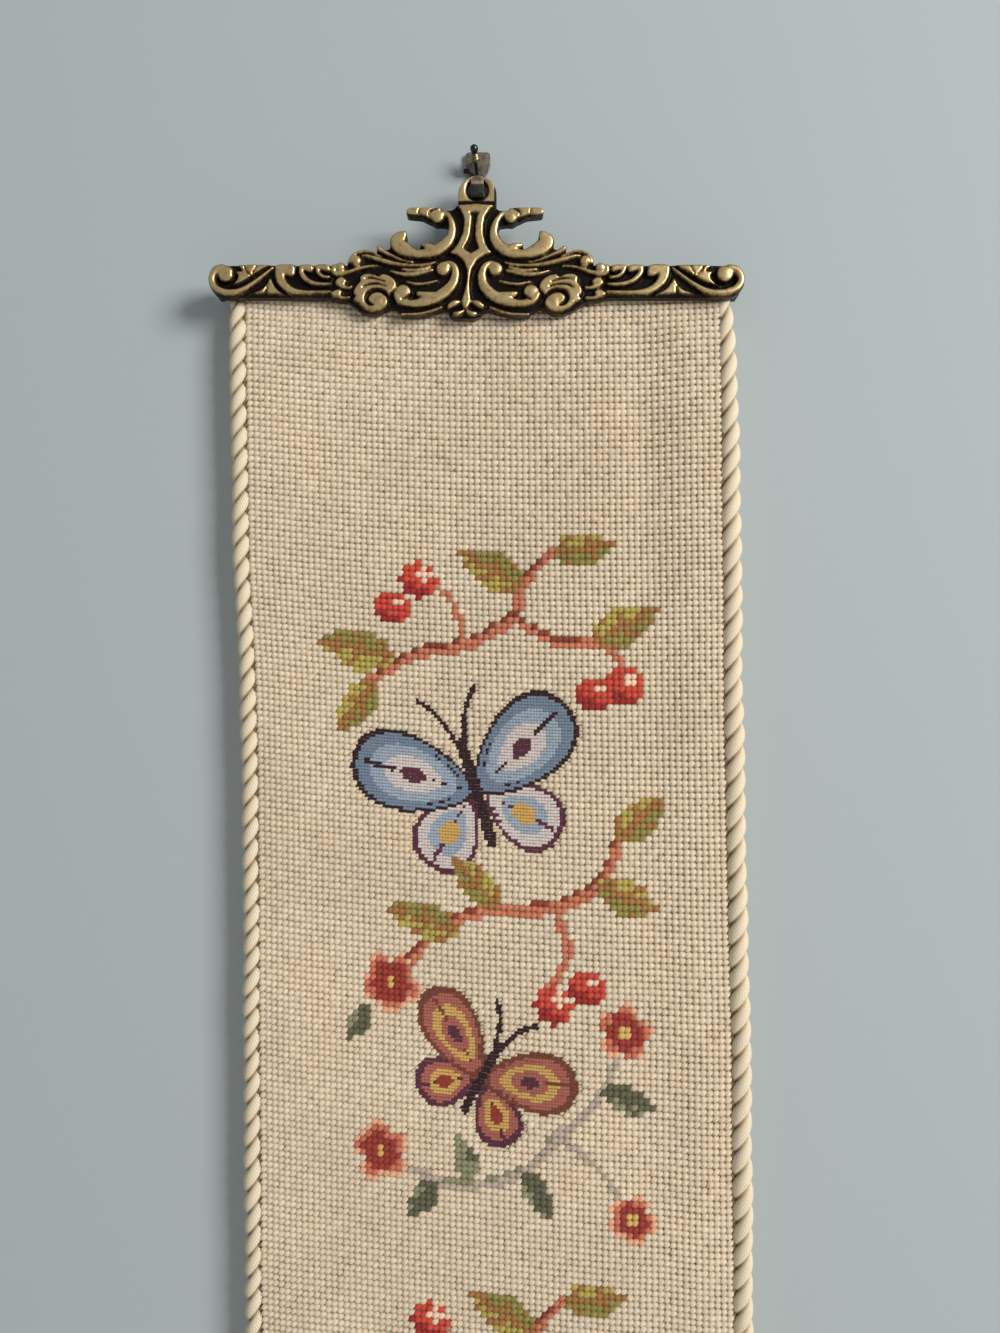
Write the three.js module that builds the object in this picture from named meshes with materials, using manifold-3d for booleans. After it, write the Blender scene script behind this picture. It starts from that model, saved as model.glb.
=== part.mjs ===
// A needlepoint bell pull: a stitched canvas band, corded at its long edges, that hangs by a sleeve from a
// plain bar behind a cast scrollwork header. The header's eye hangs on a picture hook, and a nail holds the
// hook to the wall.
//
// Millimetres. +Z is up, +X is to the right seen from the front, and the front faces -Y. The wall is the
// plane y = 0. The origin is on the back of the picture hook, where it lies on the wall.

import * as THREE from "three";
import { mergeVertices } from "three/addons/utils/BufferGeometryUtils.js";
import Module from "manifold-3d";

const wasm = await Module();
wasm.setup();

// ---------- Driving dimensions ----------

const GAP = 0.3; // clearance between neighbouring pieces

const BAR_Z = -51; // middle height of the header's bar
const BAR_END_U = 94.4; // centre of the bar's round end, from the middle line
const BAR_RADIUS = 6.3; // half the bar's height, and the radius of its ends
const HEADER_BACK = 12.4; // distance of the header's back from the wall
const PLATE_THICK = 3.6;
const RELIEF_THICK = 6; // plate and ribs together

// The scrollwork leans a little towards its foot: its middle line drifts sideways below LEAN_TOP.
const LEAN = 0.098;
const LEAN_TOP = 33.7;

const ROD_RADIUS = 2.4;
const ROD_OFF_WALL = 6.9; // distance of the rod's axis from the wall
const EAR = { inner: 97.4, outer: 98.9, radius: 4.2 };

const EYE = { thick: 3, halfWidth: 7.3, archH: 34.5, footH: 20, footHalf: 4.5, shoulderH: 27 };
const EYE_HOLE = { h: 36.3, radius: 3.9 };

const STRAP_THICK = 1.2; // of the picture hook, a single bent strap
const SEAT_WIDTH = 4.7; // width of the strap where it carries the eye
const NAIL = { shank: 0.75, collar: 2.2, ball: 1.5 };
const NAIL_FOOT = new THREE.Vector3(0, 0, -6.5);
const NAIL_HEAD = new THREE.Vector3(-1.3, -9, 2.5);

const CLOTH_THICK = 2;
const CLOTH_WIDTH = 180;
const CLOTH_BOTTOM = -1066;
const CLOTH_CENTRE = 2.6; // sideways offset of the band where it leaves the bar
const BAND_LEAN = 0.0152; // sideways drift for each millimetre down
const WRAP_TURN = 1.12 * Math.PI; // how far round the rod the sleeve lies against it
const FOLD_START = 8; // the folds begin this far below the middle of the bar
const FOLD_FREE = 18; // and have their whole depth from here down

const CORD_RADIUS = 3.1;
const CORD_OFF_WALL = 9;
const CORD_TOP = -56.2;

// ---------- Materials ----------

function material(color, metalness, roughness) {
  return new THREE.MeshStandardMaterial({ color, metalness, roughness });
}

const brass = material(0x9c8254, 0.9, 0.42);
const darkBrass = material(0x6d5a3c, 0.9, 0.45);
const steel = material(0x8a8478, 0.9, 0.4);
const wool = material(0xd6c6a5, 0, 0.95);
const cordWool = material(0xdfd0b2, 0, 0.95);

// ---------- Solids ----------

function toSolid(geometry) {
  const bare = geometry.clone();
  bare.deleteAttribute("normal");
  bare.deleteAttribute("uv");
  const merged = mergeVertices(bare, 1e-4);
  return new wasm.Manifold(
    new wasm.Mesh({
      numProp: 3,
      vertProperties: new Float32Array(merged.attributes.position.array),
      triVerts: new Uint32Array(merged.index.array),
    }),
  );
}

function toGeometry(solid) {
  const mesh = solid.getMesh();
  const geometry = new THREE.BufferGeometry();
  geometry.setAttribute("position", new THREE.BufferAttribute(new Float32Array(mesh.vertProperties), 3));
  geometry.setIndex(new THREE.BufferAttribute(new Uint32Array(mesh.triVerts), 1));
  geometry.computeVertexNormals();
  return geometry;
}

function joined(geometries) {
  return geometries.map(toSolid).reduce((all, next) => all.add(next));
}

// A flat outline in the wall's plane, from its back to its front distance off the wall.
function slab(shape, back, front) {
  const geometry = new THREE.ExtrudeGeometry(shape, { depth: front - back, bevelEnabled: false });
  geometry.translate(0, 0, back);
  geometry.rotateX(Math.PI / 2);
  return geometry;
}

// A flat outline drawn as (distance off the wall, z), from one x to another.
function sideSlab(shape, fromX, toX) {
  const geometry = new THREE.ExtrudeGeometry(shape, { depth: toX - fromX, bevelEnabled: false });
  geometry.applyMatrix4(new THREE.Matrix4().set(0, 0, -1, toX, -1, 0, 0, 0, 0, 1, 0, 0, 0, 0, 0, 1));
  return geometry;
}

// A skin over rows of points, each row running round a closed section, with flat ends. Seen from the last
// row, every row runs anticlockwise.
function loft(rows) {
  const around = rows[0].length;
  const index = [];
  for (let r = 0; r + 1 < rows.length; r += 1) {
    for (let c = 0; c < around; c += 1) {
      const a = r * around + c;
      const b = r * around + ((c + 1) % around);
      index.push(a, b, b + around, a, b + around, a + around);
    }
  }
  const last = (rows.length - 1) * around;
  for (let c = 1; c + 1 < around; c += 1) {
    index.push(0, c + 1, c);
    index.push(last, last + c, last + c + 1);
  }
  const geometry = new THREE.BufferGeometry();
  geometry.setAttribute("position", new THREE.Float32BufferAttribute(rows.flat(2), 3));
  geometry.setIndex(index);
  geometry.computeVertexNormals();
  return geometry;
}

// ---------- Header ----------

// The scrollwork is drawn for one half and mirrored: u is the distance from the middle line and h the
// height above the middle of the bar.

// The plate's outline, from the middle of its top edge round to the middle of its foot. Columns: u, h.
const PLATE_TOP = [
  [0, 28.7], [7.6, 28.3], [9, 27.3], [20, 27.6], [25.8, 27.4], [27, 26], [25.6, 24.6], [18.5, 23.8],
  [12.8, 21.8], [10, 21.2], [9.6, 19.4], [10.6, 17.2], [12.6, 15.2], [16, 14.8], [19.6, 14.7], [20.2, 12.2],
  [23.4, 12.4], [24.6, 15.2], [26, 17.4], [28.4, 17.8], [30.4, 16.2], [31.2, 13.2], [34.4, 13], [36, 11.6],
  [39.6, 12.2], [43.4, 11.4], [45.6, 9.2], [46.4, 7],
];
const PLATE_BOTTOM = [
  [52, -6.3], [49.6, -7.2], [45, -7.6], [42.8, -9], [39.6, -11.2], [35.8, -12.6], [32.4, -12.2],
  [29.6, -10.2], [27.4, -9.4], [24.6, -11.6], [18.6, -12.6], [11.6, -11.8], [6.9, -10],
  [5.2, -11.2], [5.4, -13], [3.6, -14.3], [0, -14],
];

// Ribs of the relief, each with its own taper. Columns: u, h, width.
const RIBS = {
  endHook: [
    [97.2, 4.6, 1], [99.2, 0.8, 2], [98.2, -2.7, 2.4], [95.6, -4.3, 2.6], [91.8, -4.5, 2.8],
    [87.8, -3.5, 2.5], [84, -1.4, 2.1], [80, 1.2, 1.7], [76.6, 4, 1.2], [74.5, 5.6, 0.7],
  ],
  endLeaf: [[93, -1.5, 0.6], [89, 0.2, 2.2], [86, 2, 3], [83.4, 2.6, 1.4]],
  firstComma: [
    [71.4, 4.6, 3], [72.4, 1.4, 3], [70.3, -1.4, 3], [66.5, -3.3, 2.6], [60, -4.1, 2], [52.4, -4, 1.2],
  ],
  secondComma: [[63.8, 4.4, 2], [63.6, 1.9, 2], [61.4, -0.2, 1.9], [57.8, -1.2, 1.5], [52.4, -0.9, 0.9]],
  thirdComma: [[57.6, 4.2, 1.8], [56.9, 2.4, 1.8], [54.8, 1.4, 1.5], [52.6, 1.3, 0.9]],
  longRib: [
    [51.2, 3.6, 1], [48.6, 2.8, 1.3], [45.4, 2.9, 1.3], [42, 4.1, 1.4], [38.8, 5.3, 1.2],
    [35, 5.8, 1], [30, 5, 1], [22, 3.6, 1], [14, 4.6, 0.8],
  ],
  crest: [
    [45, 9, 1], [42.8, 10.7, 1.6], [39.4, 11.2, 1.8], [35.6, 10.2, 2], [31.8, 8.8, 1.8],
    [26, 6.8, 1.4], [19.5, 6, 1.1], [15, 6.7, 0.8],
  ],
  wedge: [[34, 12.1, 1.8], [30.6, 10.1, 1.6], [26, 8.2, 1.3], [20.6, 7.4, 1], [15.4, 8, 0.8]],
  flow: [[23, -0.3, 0.8], [18.4, -0.7, 1.1], [14.4, -0.2, 1.1], [12.4, 0.4, 0.8]],
  upperBud: [[47.6, -0.6, 3.2], [46.6, -2.2, 1.4], [43.8, -2.4, 0.8]],
  lowerBud: [[49.2, -4.6, 2.8], [47.8, -6.1, 1.3], [44.3, -6, 0.8]],
  shellOuterLobe: [[41.2, 1, 1.4], [37.7, 2, 2.2], [34.4, 1.4, 1.4]],
  shellInnerLobe: [[33.6, 1.6, 1.4], [30.8, 2.1, 2.2], [28.2, 0.4, 2.4], [27.6, -1.8, 1.6]],
  shellFan: [
    [30, -2.8, 1.2], [33.4, -1.2, 2.4], [37.6, -1.2, 3], [40.4, -3.6, 3.4], [40.2, -7, 3],
    [38, -9.6, 2.2], [34.8, -10.7, 2],
  ],
  upperScroll: [
    [27.6, 15.4, 4.2], [27.6, 12.8, 4.6], [25.2, 10.9, 4], [21.8, 9.9, 3.2], [18, 9.8, 3], [14, 11, 3.2],
    [10.4, 13.5, 3.3], [8.2, 17, 3], [7.6, 20.5, 2.6], [8.6, 23.6, 2.2], [10.4, 25.4, 1.8], [12.6, 25.8, 1.4],
  ],
  upperTongue: [[18.8, 13.6, 1.8], [16, 13.4, 2.2], [12.8, 13.6, 1.6]],
  wing: [[25.5, 26, 2.7], [20.5, 26, 2.8], [16, 25.2, 3.2]],
  lowerScroll: [
    [26.6, -5, 2.4], [25.7, -7.2, 2.6], [22.6, -8.8, 2.6], [18.4, -8.7, 2.8], [13.6, -7.4, 3.2],
    [9.1, -4.6, 3.4], [6.1, -1.5, 3.2], [4.9, 1.5, 3], [5.1, 4.3, 2.4], [6.6, 6.3, 1.8], [8.6, 6.9, 1.4],
  ],
  lowerTongue: [[19, -4.9, 2.8], [15.4, -5, 3], [11.8, -4.4, 2]],
  footBud: [[3.3, -8, 1.2], [5.1, -8.8, 2]],
  footTip: [[1.4, -11.2, 1.6], [3.3, -12.4, 2.2]],
};

// Round knobs. Columns: u, h, radius.
const KNOBS = [
  [94.3, 3.2, 3.1], [69.8, 4.1, 2.1], [61.6, 4.7, 1.6], [55.3, 4.8, 1.5], [49.6, 4.9, 1.8],
  [43, 7.4, 2.1], [33.2, -7.8, 3], [12.8, 24, 2.6], [23.7, -4.2, 2.9], [9.6, 4.6, 2.8],
];

// The small leaf between the end hook and the first comma, and the hourglass shield. Columns: u, h.
const TRIANGLE_LEAF = [[85.8, -5.6], [79, -3], [76, 1], [73.6, -2.6], [68.8, -5.5]];
const SHIELD = [
  [0, 28.6], [7.4, 28], [6.1, 26.5], [4.8, 23.2], [3.9, 19], [4.7, 14.8], [8.5, 10.4], [5.2, 9.3],
  [2.4, 6.6], [1, 2], [1, -4], [1.5, -9], [1.6, -13.2], [0, -13.2],
];
const DAGGER = [[0, 25.6], [1.8, 25.6], [0.9, 21], [1.1, 16], [2.9, 12.2], [0, 10.4]];

function leaned(u, h, side) {
  const reach = Math.min(u / (BAR_END_U + BAR_RADIUS), 1);
  return new THREE.Vector2(side * u - LEAN * (LEAN_TOP - h) * (1 - reach ** 3), BAR_Z + h);
}

function halfOutline(points, side) {
  return points.map(([u, h]) => leaned(u, h, side));
}

function mirroredOutline(points) {
  const inner = points.filter(([u]) => u > 0).reverse();
  return [...halfOutline(points, 1), ...halfOutline(inner, -1)];
}

// The outline of a rib: its line swept by half its width to both sides, with blunt pointed ends.
function ribOutline(path, side) {
  const spans = path.length - 1;
  const line = new THREE.CatmullRomCurve3(
    path.map(([u, h]) => new THREE.Vector3(u, h, 0)), false, "centripetal",
  );
  // The point at share t of the line, moved by so many half widths along it and to its left.
  const besideLine = (t, along, left) => {
    const k = Math.min(Math.floor(t * spans), spans - 1);
    const half = THREE.MathUtils.lerp(path[k][2], path[k + 1][2], t * spans - k) / 2;
    const at = line.getPoint(t);
    const way = line.getTangent(t).multiplyScalar(half);
    return [at.x + along * way.x - left * way.y, at.y + along * way.y + left * way.x];
  };
  const steps = Math.ceil(spans * 1.5);
  const leftSide = [];
  const rightSide = [];
  for (let i = 0; i <= steps; i += 1) {
    leftSide.push(besideLine(i / steps, 0, 1));
    rightSide.push(besideLine(i / steps, 0, -1));
  }
  const points = [besideLine(0, -1, 0), ...leftSide, besideLine(1, 1, 0), ...rightSide.reverse()];
  return halfOutline(points, side);
}

function knobOutline([u, h, radius], side) {
  const corners = 12;
  const points = [];
  for (let i = 0; i < corners; i += 1) {
    const angle = (2 * Math.PI * i) / corners;
    points.push([u + radius * Math.cos(angle), h + radius * Math.sin(angle)]);
  }
  return halfOutline(points, side);
}

function plateOutline() {
  const corners = 8;
  const end = [];
  for (let i = 0; i <= corners; i += 1) {
    const angle = Math.PI / 2 - (Math.PI * i) / corners;
    end.push([BAR_END_U + BAR_RADIUS * Math.cos(angle), BAR_RADIUS * Math.sin(angle)]);
  }
  return mirroredOutline([...PLATE_TOP, [47.4, BAR_RADIUS], [70, BAR_RADIUS], ...end, [74, -BAR_RADIUS],
    ...PLATE_BOTTOM]);
}

function earShape() {
  const shape = new THREE.Shape();
  shape.absarc(ROD_OFF_WALL, BAR_Z, EAR.radius, Math.PI / 2, 1.5 * Math.PI);
  shape.lineTo(HEADER_BACK + 1, BAR_Z - EAR.radius);
  shape.lineTo(HEADER_BACK + 1, BAR_Z + EAR.radius);
  shape.holes.push(new THREE.Path().absarc(ROD_OFF_WALL, BAR_Z, ROD_RADIUS + GAP, 0, 2 * Math.PI, true));
  return shape;
}

function header() {
  const top = HEADER_BACK + RELIEF_THICK;
  const shield = new THREE.Shape(mirroredOutline(SHIELD));
  shield.holes.push(new THREE.Path(mirroredOutline(DAGGER).reverse()));
  const pieces = [
    slab(new THREE.Shape(plateOutline()), HEADER_BACK, HEADER_BACK + PLATE_THICK),
    slab(shield, HEADER_BACK + 1, top),
  ];
  for (const side of [1, -1]) {
    const outlines = [
      ...Object.values(RIBS).map((path) => ribOutline(path, side)),
      ...KNOBS.map((knob) => knobOutline(knob, side)),
      halfOutline(TRIANGLE_LEAF, side),
    ];
    pieces.push(...outlines.map((points) => slab(new THREE.Shape(points), HEADER_BACK + 1, top)));
    const ends = [side * EAR.inner, side * EAR.outer].sort((a, b) => a - b);
    pieces.push(sideSlab(earShape(), ends[0], ends[1]));
  }
  return toGeometry(joined(pieces));
}

// ---------- Hanging eye, rod, hook and nail ----------

function hangingEye() {
  const shape = new THREE.Shape();
  shape.moveTo(EYE.footHalf, BAR_Z + EYE.footH);
  shape.lineTo(EYE.halfWidth, BAR_Z + EYE.shoulderH);
  shape.absarc(0, BAR_Z + EYE.archH, EYE.halfWidth, 0, Math.PI);
  shape.lineTo(-EYE.halfWidth, BAR_Z + EYE.shoulderH);
  shape.lineTo(-EYE.footHalf, BAR_Z + EYE.footH);
  shape.holes.push(new THREE.Path().absarc(0, BAR_Z + EYE_HOLE.h, EYE_HOLE.radius, 0, 2 * Math.PI, true));
  const front = HEADER_BACK - GAP;
  return slab(shape, front - EYE.thick, front);
}

function hangingBar() {
  const bar = new THREE.CylinderGeometry(ROD_RADIUS, ROD_RADIUS, 2 * EAR.outer, 24);
  bar.rotateZ(Math.PI / 2);
  bar.translate(0, -ROD_OFF_WALL, BAR_Z);
  return bar;
}

// The hook's floor carries the eye at the height where both edges of the strap are just clear of the eye's
// round hole, and its tip stands just in front of the eye. SEAT_Z is the middle of the floor's thickness.
const FLAT = STRAP_THICK / 2;
const SEAT_RISE = Math.sqrt((EYE_HOLE.radius - 1.3 * GAP) ** 2 - (SEAT_WIDTH / 2) ** 2);
const SEAT_Z = BAR_Z + EYE_HOLE.h + SEAT_RISE - FLAT;
const TIP_OFF_WALL = HEADER_BACK + FLAT;

// The strap from its top on the wall round to its tip. Columns: distance of its middle from the wall, z,
// width.
const STRAP = [
  [FLAT, 5, 7.6], [FLAT, 4.2, 9.6], [FLAT, 0, 9.8], [FLAT, -4.5, 6.4], [FLAT, -10.2, 5.4],
  [FLAT + 0.5, SEAT_Z + 0.6, 5.2], [FLAT + 1.8, SEAT_Z, 5], [7, SEAT_Z, SEAT_WIDTH],
  [TIP_OFF_WALL - 1.1, SEAT_Z, SEAT_WIDTH], [TIP_OFF_WALL - 0.3, SEAT_Z + 0.3, SEAT_WIDTH],
  [TIP_OFF_WALL, SEAT_Z + 1.1, 4.6], [TIP_OFF_WALL, SEAT_Z + 2, 3.8], [TIP_OFF_WALL, SEAT_Z + 2.5, 2],
];

function nailAxis(geometry) {
  const along = NAIL_HEAD.clone().sub(NAIL_FOOT).normalize();
  geometry.applyQuaternion(new THREE.Quaternion().setFromUnitVectors(new THREE.Vector3(0, 1, 0), along));
  geometry.translate(NAIL_FOOT.x, NAIL_FOOT.y, NAIL_FOOT.z);
  return geometry;
}

function pictureHook() {
  const rows = STRAP.map(([off, z, width], i) => {
    const before = STRAP[Math.max(i - 1, 0)];
    const after = STRAP[Math.min(i + 1, STRAP.length - 1)];
    const along = new THREE.Vector2(after[0] - before[0], after[1] - before[1]).normalize();
    const side = new THREE.Vector2(-along.y, along.x).multiplyScalar(FLAT);
    const corner = (x, sign) => [x, -(off + sign * side.x), z + sign * side.y];
    return [corner(-width / 2, 1), corner(-width / 2, -1), corner(width / 2, -1), corner(width / 2, 1)];
  });
  const nailLength = NAIL_HEAD.distanceTo(NAIL_FOOT);
  const bore = nailAxis(new THREE.CylinderGeometry(NAIL.shank + GAP, NAIL.shank + GAP, nailLength, 16));
  return toGeometry(toSolid(loft(rows)).subtract(toSolid(bore)));
}

function nail() {
  const length = NAIL_HEAD.distanceTo(NAIL_FOOT);
  const { shank, collar, ball } = NAIL;
  const profile = [
    [0, -3], [shank, -3], [shank, length - 3.4], [collar, length - 2.6], [collar, length - 2],
    [ball * 0.55, length - 1.3], [ball * 0.9, length - 0.6], [ball, length], [ball * 0.75, length + 1],
    [0, length + ball],
  ];
  const turned = new THREE.LatheGeometry(profile.map(([r, at]) => new THREE.Vector2(r, at)), 16);
  const wall = new THREE.BoxGeometry(20, 10, 20).translate(0, 5, NAIL_FOOT.z);
  return toGeometry(toSolid(nailAxis(turned)).subtract(toSolid(wall)));
}

// ---------- Cloth band ----------

const FRONT_MIDDLE = ROD_OFF_WALL + ROD_RADIUS + GAP + CLOTH_THICK / 2;
const WRAP_RADIUS = FRONT_MIDDLE - ROD_OFF_WALL;

// The turned-back flap of the sleeve, below where it leaves the rod. Columns: distance from the wall,
// distance below the middle of the bar.
const FLAP = [[4.2, 5.4], [6.2, 9], [7.8, 12.4], [8.2, 16], [8.2, 25]];

// Soft troughs and ridges down the band: the right trough and ridge, the left ridge, the hollow in the
// middle and the low swell. across is the distance from its centre line, depth is towards the viewer, full
// is the stretch of height where the fold is at its strongest, fade is how fast it dies away beyond that,
// and least is the share of it that stays.
const FOLDS = [
  { across: 61, width: 9, depth: -1.3, full: [-66, -98], fade: 60, least: 0.45 },
  { across: 79, width: 9, depth: 0.9, full: [-70, -150], fade: 200, least: 0.6 },
  { across: -80, width: 14, depth: 0.7, full: [-80, -600], fade: 300, least: 0.5 },
  { across: -8, width: 40, depth: -0.8, full: [-160, -420], fade: 200, least: 0.2 },
  { across: 26, width: 34, depth: 1, full: [-640, -900], fade: 180, least: 0 },
];

function bump(distance) {
  return Math.exp(-(distance ** 2));
}

function foldStrength(fold, z) {
  const [high, low] = fold.full;
  const outside = Math.max(z - high, low - z, 0);
  return fold.least + (1 - fold.least) * bump(outside / fold.fade);
}

function foldDepth(across, z) {
  const freeOfBar = THREE.MathUtils.smoothstep(BAR_Z - z, FOLD_START, FOLD_FREE);
  return freeOfBar * FOLDS.reduce(
    (sum, fold) => sum + fold.depth * foldStrength(fold, z) * bump((across - fold.across) / fold.width), 0,
  );
}

function bandCentre(z) {
  return CLOTH_CENTRE + BAND_LEAN * (BAR_Z - z);
}

// The edges wander a little, by slow waves of unequal length. Columns: height, length, phase.
const EDGE_WAVES = [[0.35, 31, 0], [0.25, 13.7, 1], [0.2, 67, 2]];

function edgeWave(z) {
  return EDGE_WAVES.reduce((sum, [height, length, phase]) => sum + height * Math.sin(z / length + phase), 0);
}

// The cloth's middle line seen from the side, from the hem up the front, over the rod and down the flap.
// Columns: distance from the wall, z.
function sheetLine() {
  const frontSteps = 40;
  const wrapSteps = 12;
  const line = [];
  for (let i = 0; i < frontSteps; i += 1) {
    line.push([FRONT_MIDDLE, THREE.MathUtils.lerp(CLOTH_BOTTOM, BAR_Z, i / frontSteps)]);
  }
  for (let i = 0; i <= wrapSteps; i += 1) {
    const angle = (WRAP_TURN * i) / wrapSteps;
    line.push([ROD_OFF_WALL + WRAP_RADIUS * Math.cos(angle), BAR_Z + WRAP_RADIUS * Math.sin(angle)]);
  }
  return [...line, ...FLAP.map(([off, below]) => [off, BAR_Z - below])];
}

function needlepointBand() {
  const columns = 16;
  const line = sheetLine();
  const rows = line.map(([off, z], i) => {
    const before = line[Math.max(i - 1, 0)];
    const after = line[Math.min(i + 1, line.length - 1)];
    const along = new THREE.Vector2(after[0] - before[0], after[1] - before[1]).normalize();
    const side = new THREE.Vector2(along.y, -along.x).multiplyScalar(CLOTH_THICK / 2);
    const section = (sign) => {
      const points = [];
      for (let c = 0; c <= columns; c += 1) {
        const share = c / columns - 0.5;
        const across = share * (CLOTH_WIDTH + 2 * edgeWave(z) * Math.abs(share));
        const depth = foldDepth(across, z);
        points.push([bandCentre(z) + across, -(off + sign * side.x + depth), z + sign * side.y]);
      }
      return points;
    };
    return [...section(1), ...section(-1).reverse()];
  });
  return loft(rows);
}

// ---------- Edge cords ----------

function edgeCord(side) {
  const knots = [];
  const steps = 60;
  for (let i = 0; i <= steps; i += 1) {
    const z = THREE.MathUtils.lerp(CLOTH_BOTTOM + 0.5, CORD_TOP, i / steps);
    const out = CLOTH_WIDTH / 2 + edgeWave(z) / 2 + GAP + CORD_RADIUS;
    knots.push(new THREE.Vector3(bandCentre(z) + side * out, -CORD_OFF_WALL, z));
  }
  const corners = 10;
  const section = new THREE.Shape();
  for (let i = 0; i < corners; i += 1) {
    const angle = (2 * Math.PI * i) / corners;
    const spot = new THREE.Vector2(CORD_RADIUS * Math.cos(angle), CORD_RADIUS * Math.sin(angle));
    if (i === 0) section.moveTo(spot.x, spot.y);
    else section.lineTo(spot.x, spot.y);
  }
  return new THREE.ExtrudeGeometry(section, {
    steps: 68,
    bevelEnabled: false,
    extrudePath: new THREE.CatmullRomCurve3(knots),
  });
}

// ---------- Assembly ----------

const bellPull = new THREE.Group();

function add(name, geometry, finish) {
  const mesh = new THREE.Mesh(geometry, finish.clone());
  mesh.name = name;
  bellPull.add(mesh);
}

add("header", header(), brass);
add("hanging_eye", hangingEye(), brass);
add("hanging_bar", hangingBar(), brass);
add("picture_hook", pictureHook(), darkBrass);
add("nail", nail(), steel);
add("needlepoint_band", needlepointBand(), wool);
add("edge_cord_left", edgeCord(-1), cordWool);
add("edge_cord_right", edgeCord(1), cordWool);

export default bellPull;
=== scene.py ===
# %% [markdown]
# # A needlepoint bell pull
# A narrow canvas band worked in wool tent stitch hangs by a sleeve from a rod, behind a cast brass
# scrollwork header. The header's ring hangs on a picture hook, and a nail holds the hook to the wall.
# The frame holds the pieces at their real size: this lesson gives each of them its real surface.

# %% Load the frame and keep its box
import math
import bpy
import numpy as np
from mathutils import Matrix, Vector


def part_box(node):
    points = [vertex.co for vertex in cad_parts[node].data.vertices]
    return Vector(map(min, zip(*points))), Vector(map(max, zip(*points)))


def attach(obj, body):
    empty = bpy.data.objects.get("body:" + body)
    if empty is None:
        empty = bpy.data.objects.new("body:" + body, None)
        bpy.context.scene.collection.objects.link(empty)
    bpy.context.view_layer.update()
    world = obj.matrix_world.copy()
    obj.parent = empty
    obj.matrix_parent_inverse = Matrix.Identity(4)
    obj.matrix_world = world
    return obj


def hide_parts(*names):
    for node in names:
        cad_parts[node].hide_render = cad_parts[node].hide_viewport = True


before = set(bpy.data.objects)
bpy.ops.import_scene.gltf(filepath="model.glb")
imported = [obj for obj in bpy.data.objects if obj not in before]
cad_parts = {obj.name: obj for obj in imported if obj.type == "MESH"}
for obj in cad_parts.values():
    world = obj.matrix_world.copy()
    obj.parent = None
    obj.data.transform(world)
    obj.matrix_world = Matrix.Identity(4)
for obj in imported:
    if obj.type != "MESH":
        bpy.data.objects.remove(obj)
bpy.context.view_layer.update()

scene = bpy.context.scene
MM = 0.001

# %% [markdown]
# ## Where things are
# Every place below is given as a maker would measure it on the wall: so many millimetres to the right of
# the hook, so many off the wall, and so many up. One function turns that into Blender's metres, where the
# wall is the plane y = 0 and the front looks along -Y.

# %% Places in millimetres
def place(x, off, z):
    """The point x mm to the right of the hook, off mm in front of the wall and z mm up."""
    return Vector((x, -off, z)) * MM


def node_box(name):
    """A frame node's box in millimetres: lowest x, off, z and highest x, off, z."""
    low, high = (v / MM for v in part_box(name))
    return Vector((low.x, -high.y, low.z)), Vector((high.x, -low.y, high.z))


bar_low, bar_high = node_box("hanging_bar")
BAR_Z = round((bar_low.z + bar_high.z) / 2, 2)
ROD_RADIUS = round((bar_high.z - bar_low.z) / 2, 2)
ROD_OFF = round((bar_low.y + bar_high.y) / 2, 2)
print("the bar's middle is at", BAR_Z, "mm, its rod is", 2 * ROD_RADIUS, "mm thick and", ROD_OFF,
      "mm off the wall")

# %% [markdown]
# ## The camera
# The camera comes first, so that every later choice can be checked through it. It stands close, 400 mm from
# the wall and level, so it looks up a little at the header and shows the upper part of the long band.

# %% Camera
CAMERA_OFF = 400
CAMERA_X = 8.6
CAMERA_Z = -195.6
CAMERA_HIGH = 521.5  # height of wall that the camera takes in
SENSOR = 36

camera_data = bpy.data.cameras.new("camera")
camera = bpy.data.objects.new("camera", camera_data)
scene.collection.objects.link(camera)
scene.camera = camera
camera.location = place(CAMERA_X, CAMERA_OFF, CAMERA_Z)
camera.rotation_euler = (math.radians(90), 0, 0)
camera_data.sensor_width = SENSOR
camera_data.lens = SENSOR * CAMERA_OFF / CAMERA_HIGH
camera_data.clip_start = 0.01
print("the lens is", round(camera_data.lens, 2), "mm")

# %% [markdown]
# ## Working by hand
# Two small habits keep the operators safe. Nothing may be left selected from an earlier piece, and a
# finished piece keeps its place in its mesh, with its object at the origin.

# %% Helpers for modelling
def deselect_all():
    """Deselects everything, because an operator acts on all that is selected."""
    bpy.ops.object.select_all(action="DESELECT")


def finish_piece(piece, name):
    """Names a piece and moves its place into its mesh."""
    deselect_all()
    piece.select_set(True)
    bpy.context.view_layer.objects.active = piece
    bpy.ops.object.transform_apply(location=True, rotation=True, scale=True)
    piece.name = name
    piece.data.name = name
    return piece


def join_pieces(pieces):
    """Joins meshes into the first of them."""
    deselect_all()
    for piece in pieces:
        piece.select_set(True)
    bpy.context.view_layer.objects.active = pieces[0]
    bpy.ops.object.join()
    return pieces[0]


def apply_modifier(piece, kind, **settings):
    """Adds a modifier to a piece and applies it."""
    bpy.context.view_layer.objects.active = piece
    modifier = piece.modifiers.new(kind.lower(), kind)
    for key, value in settings.items():
        setattr(modifier, key, value)
    bpy.ops.object.modifier_apply(modifier=modifier.name)


def triangles(piece):
    """How many triangles a mesh has."""
    piece.data.calc_loop_triangles()
    return len(piece.data.loop_triangles)

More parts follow.
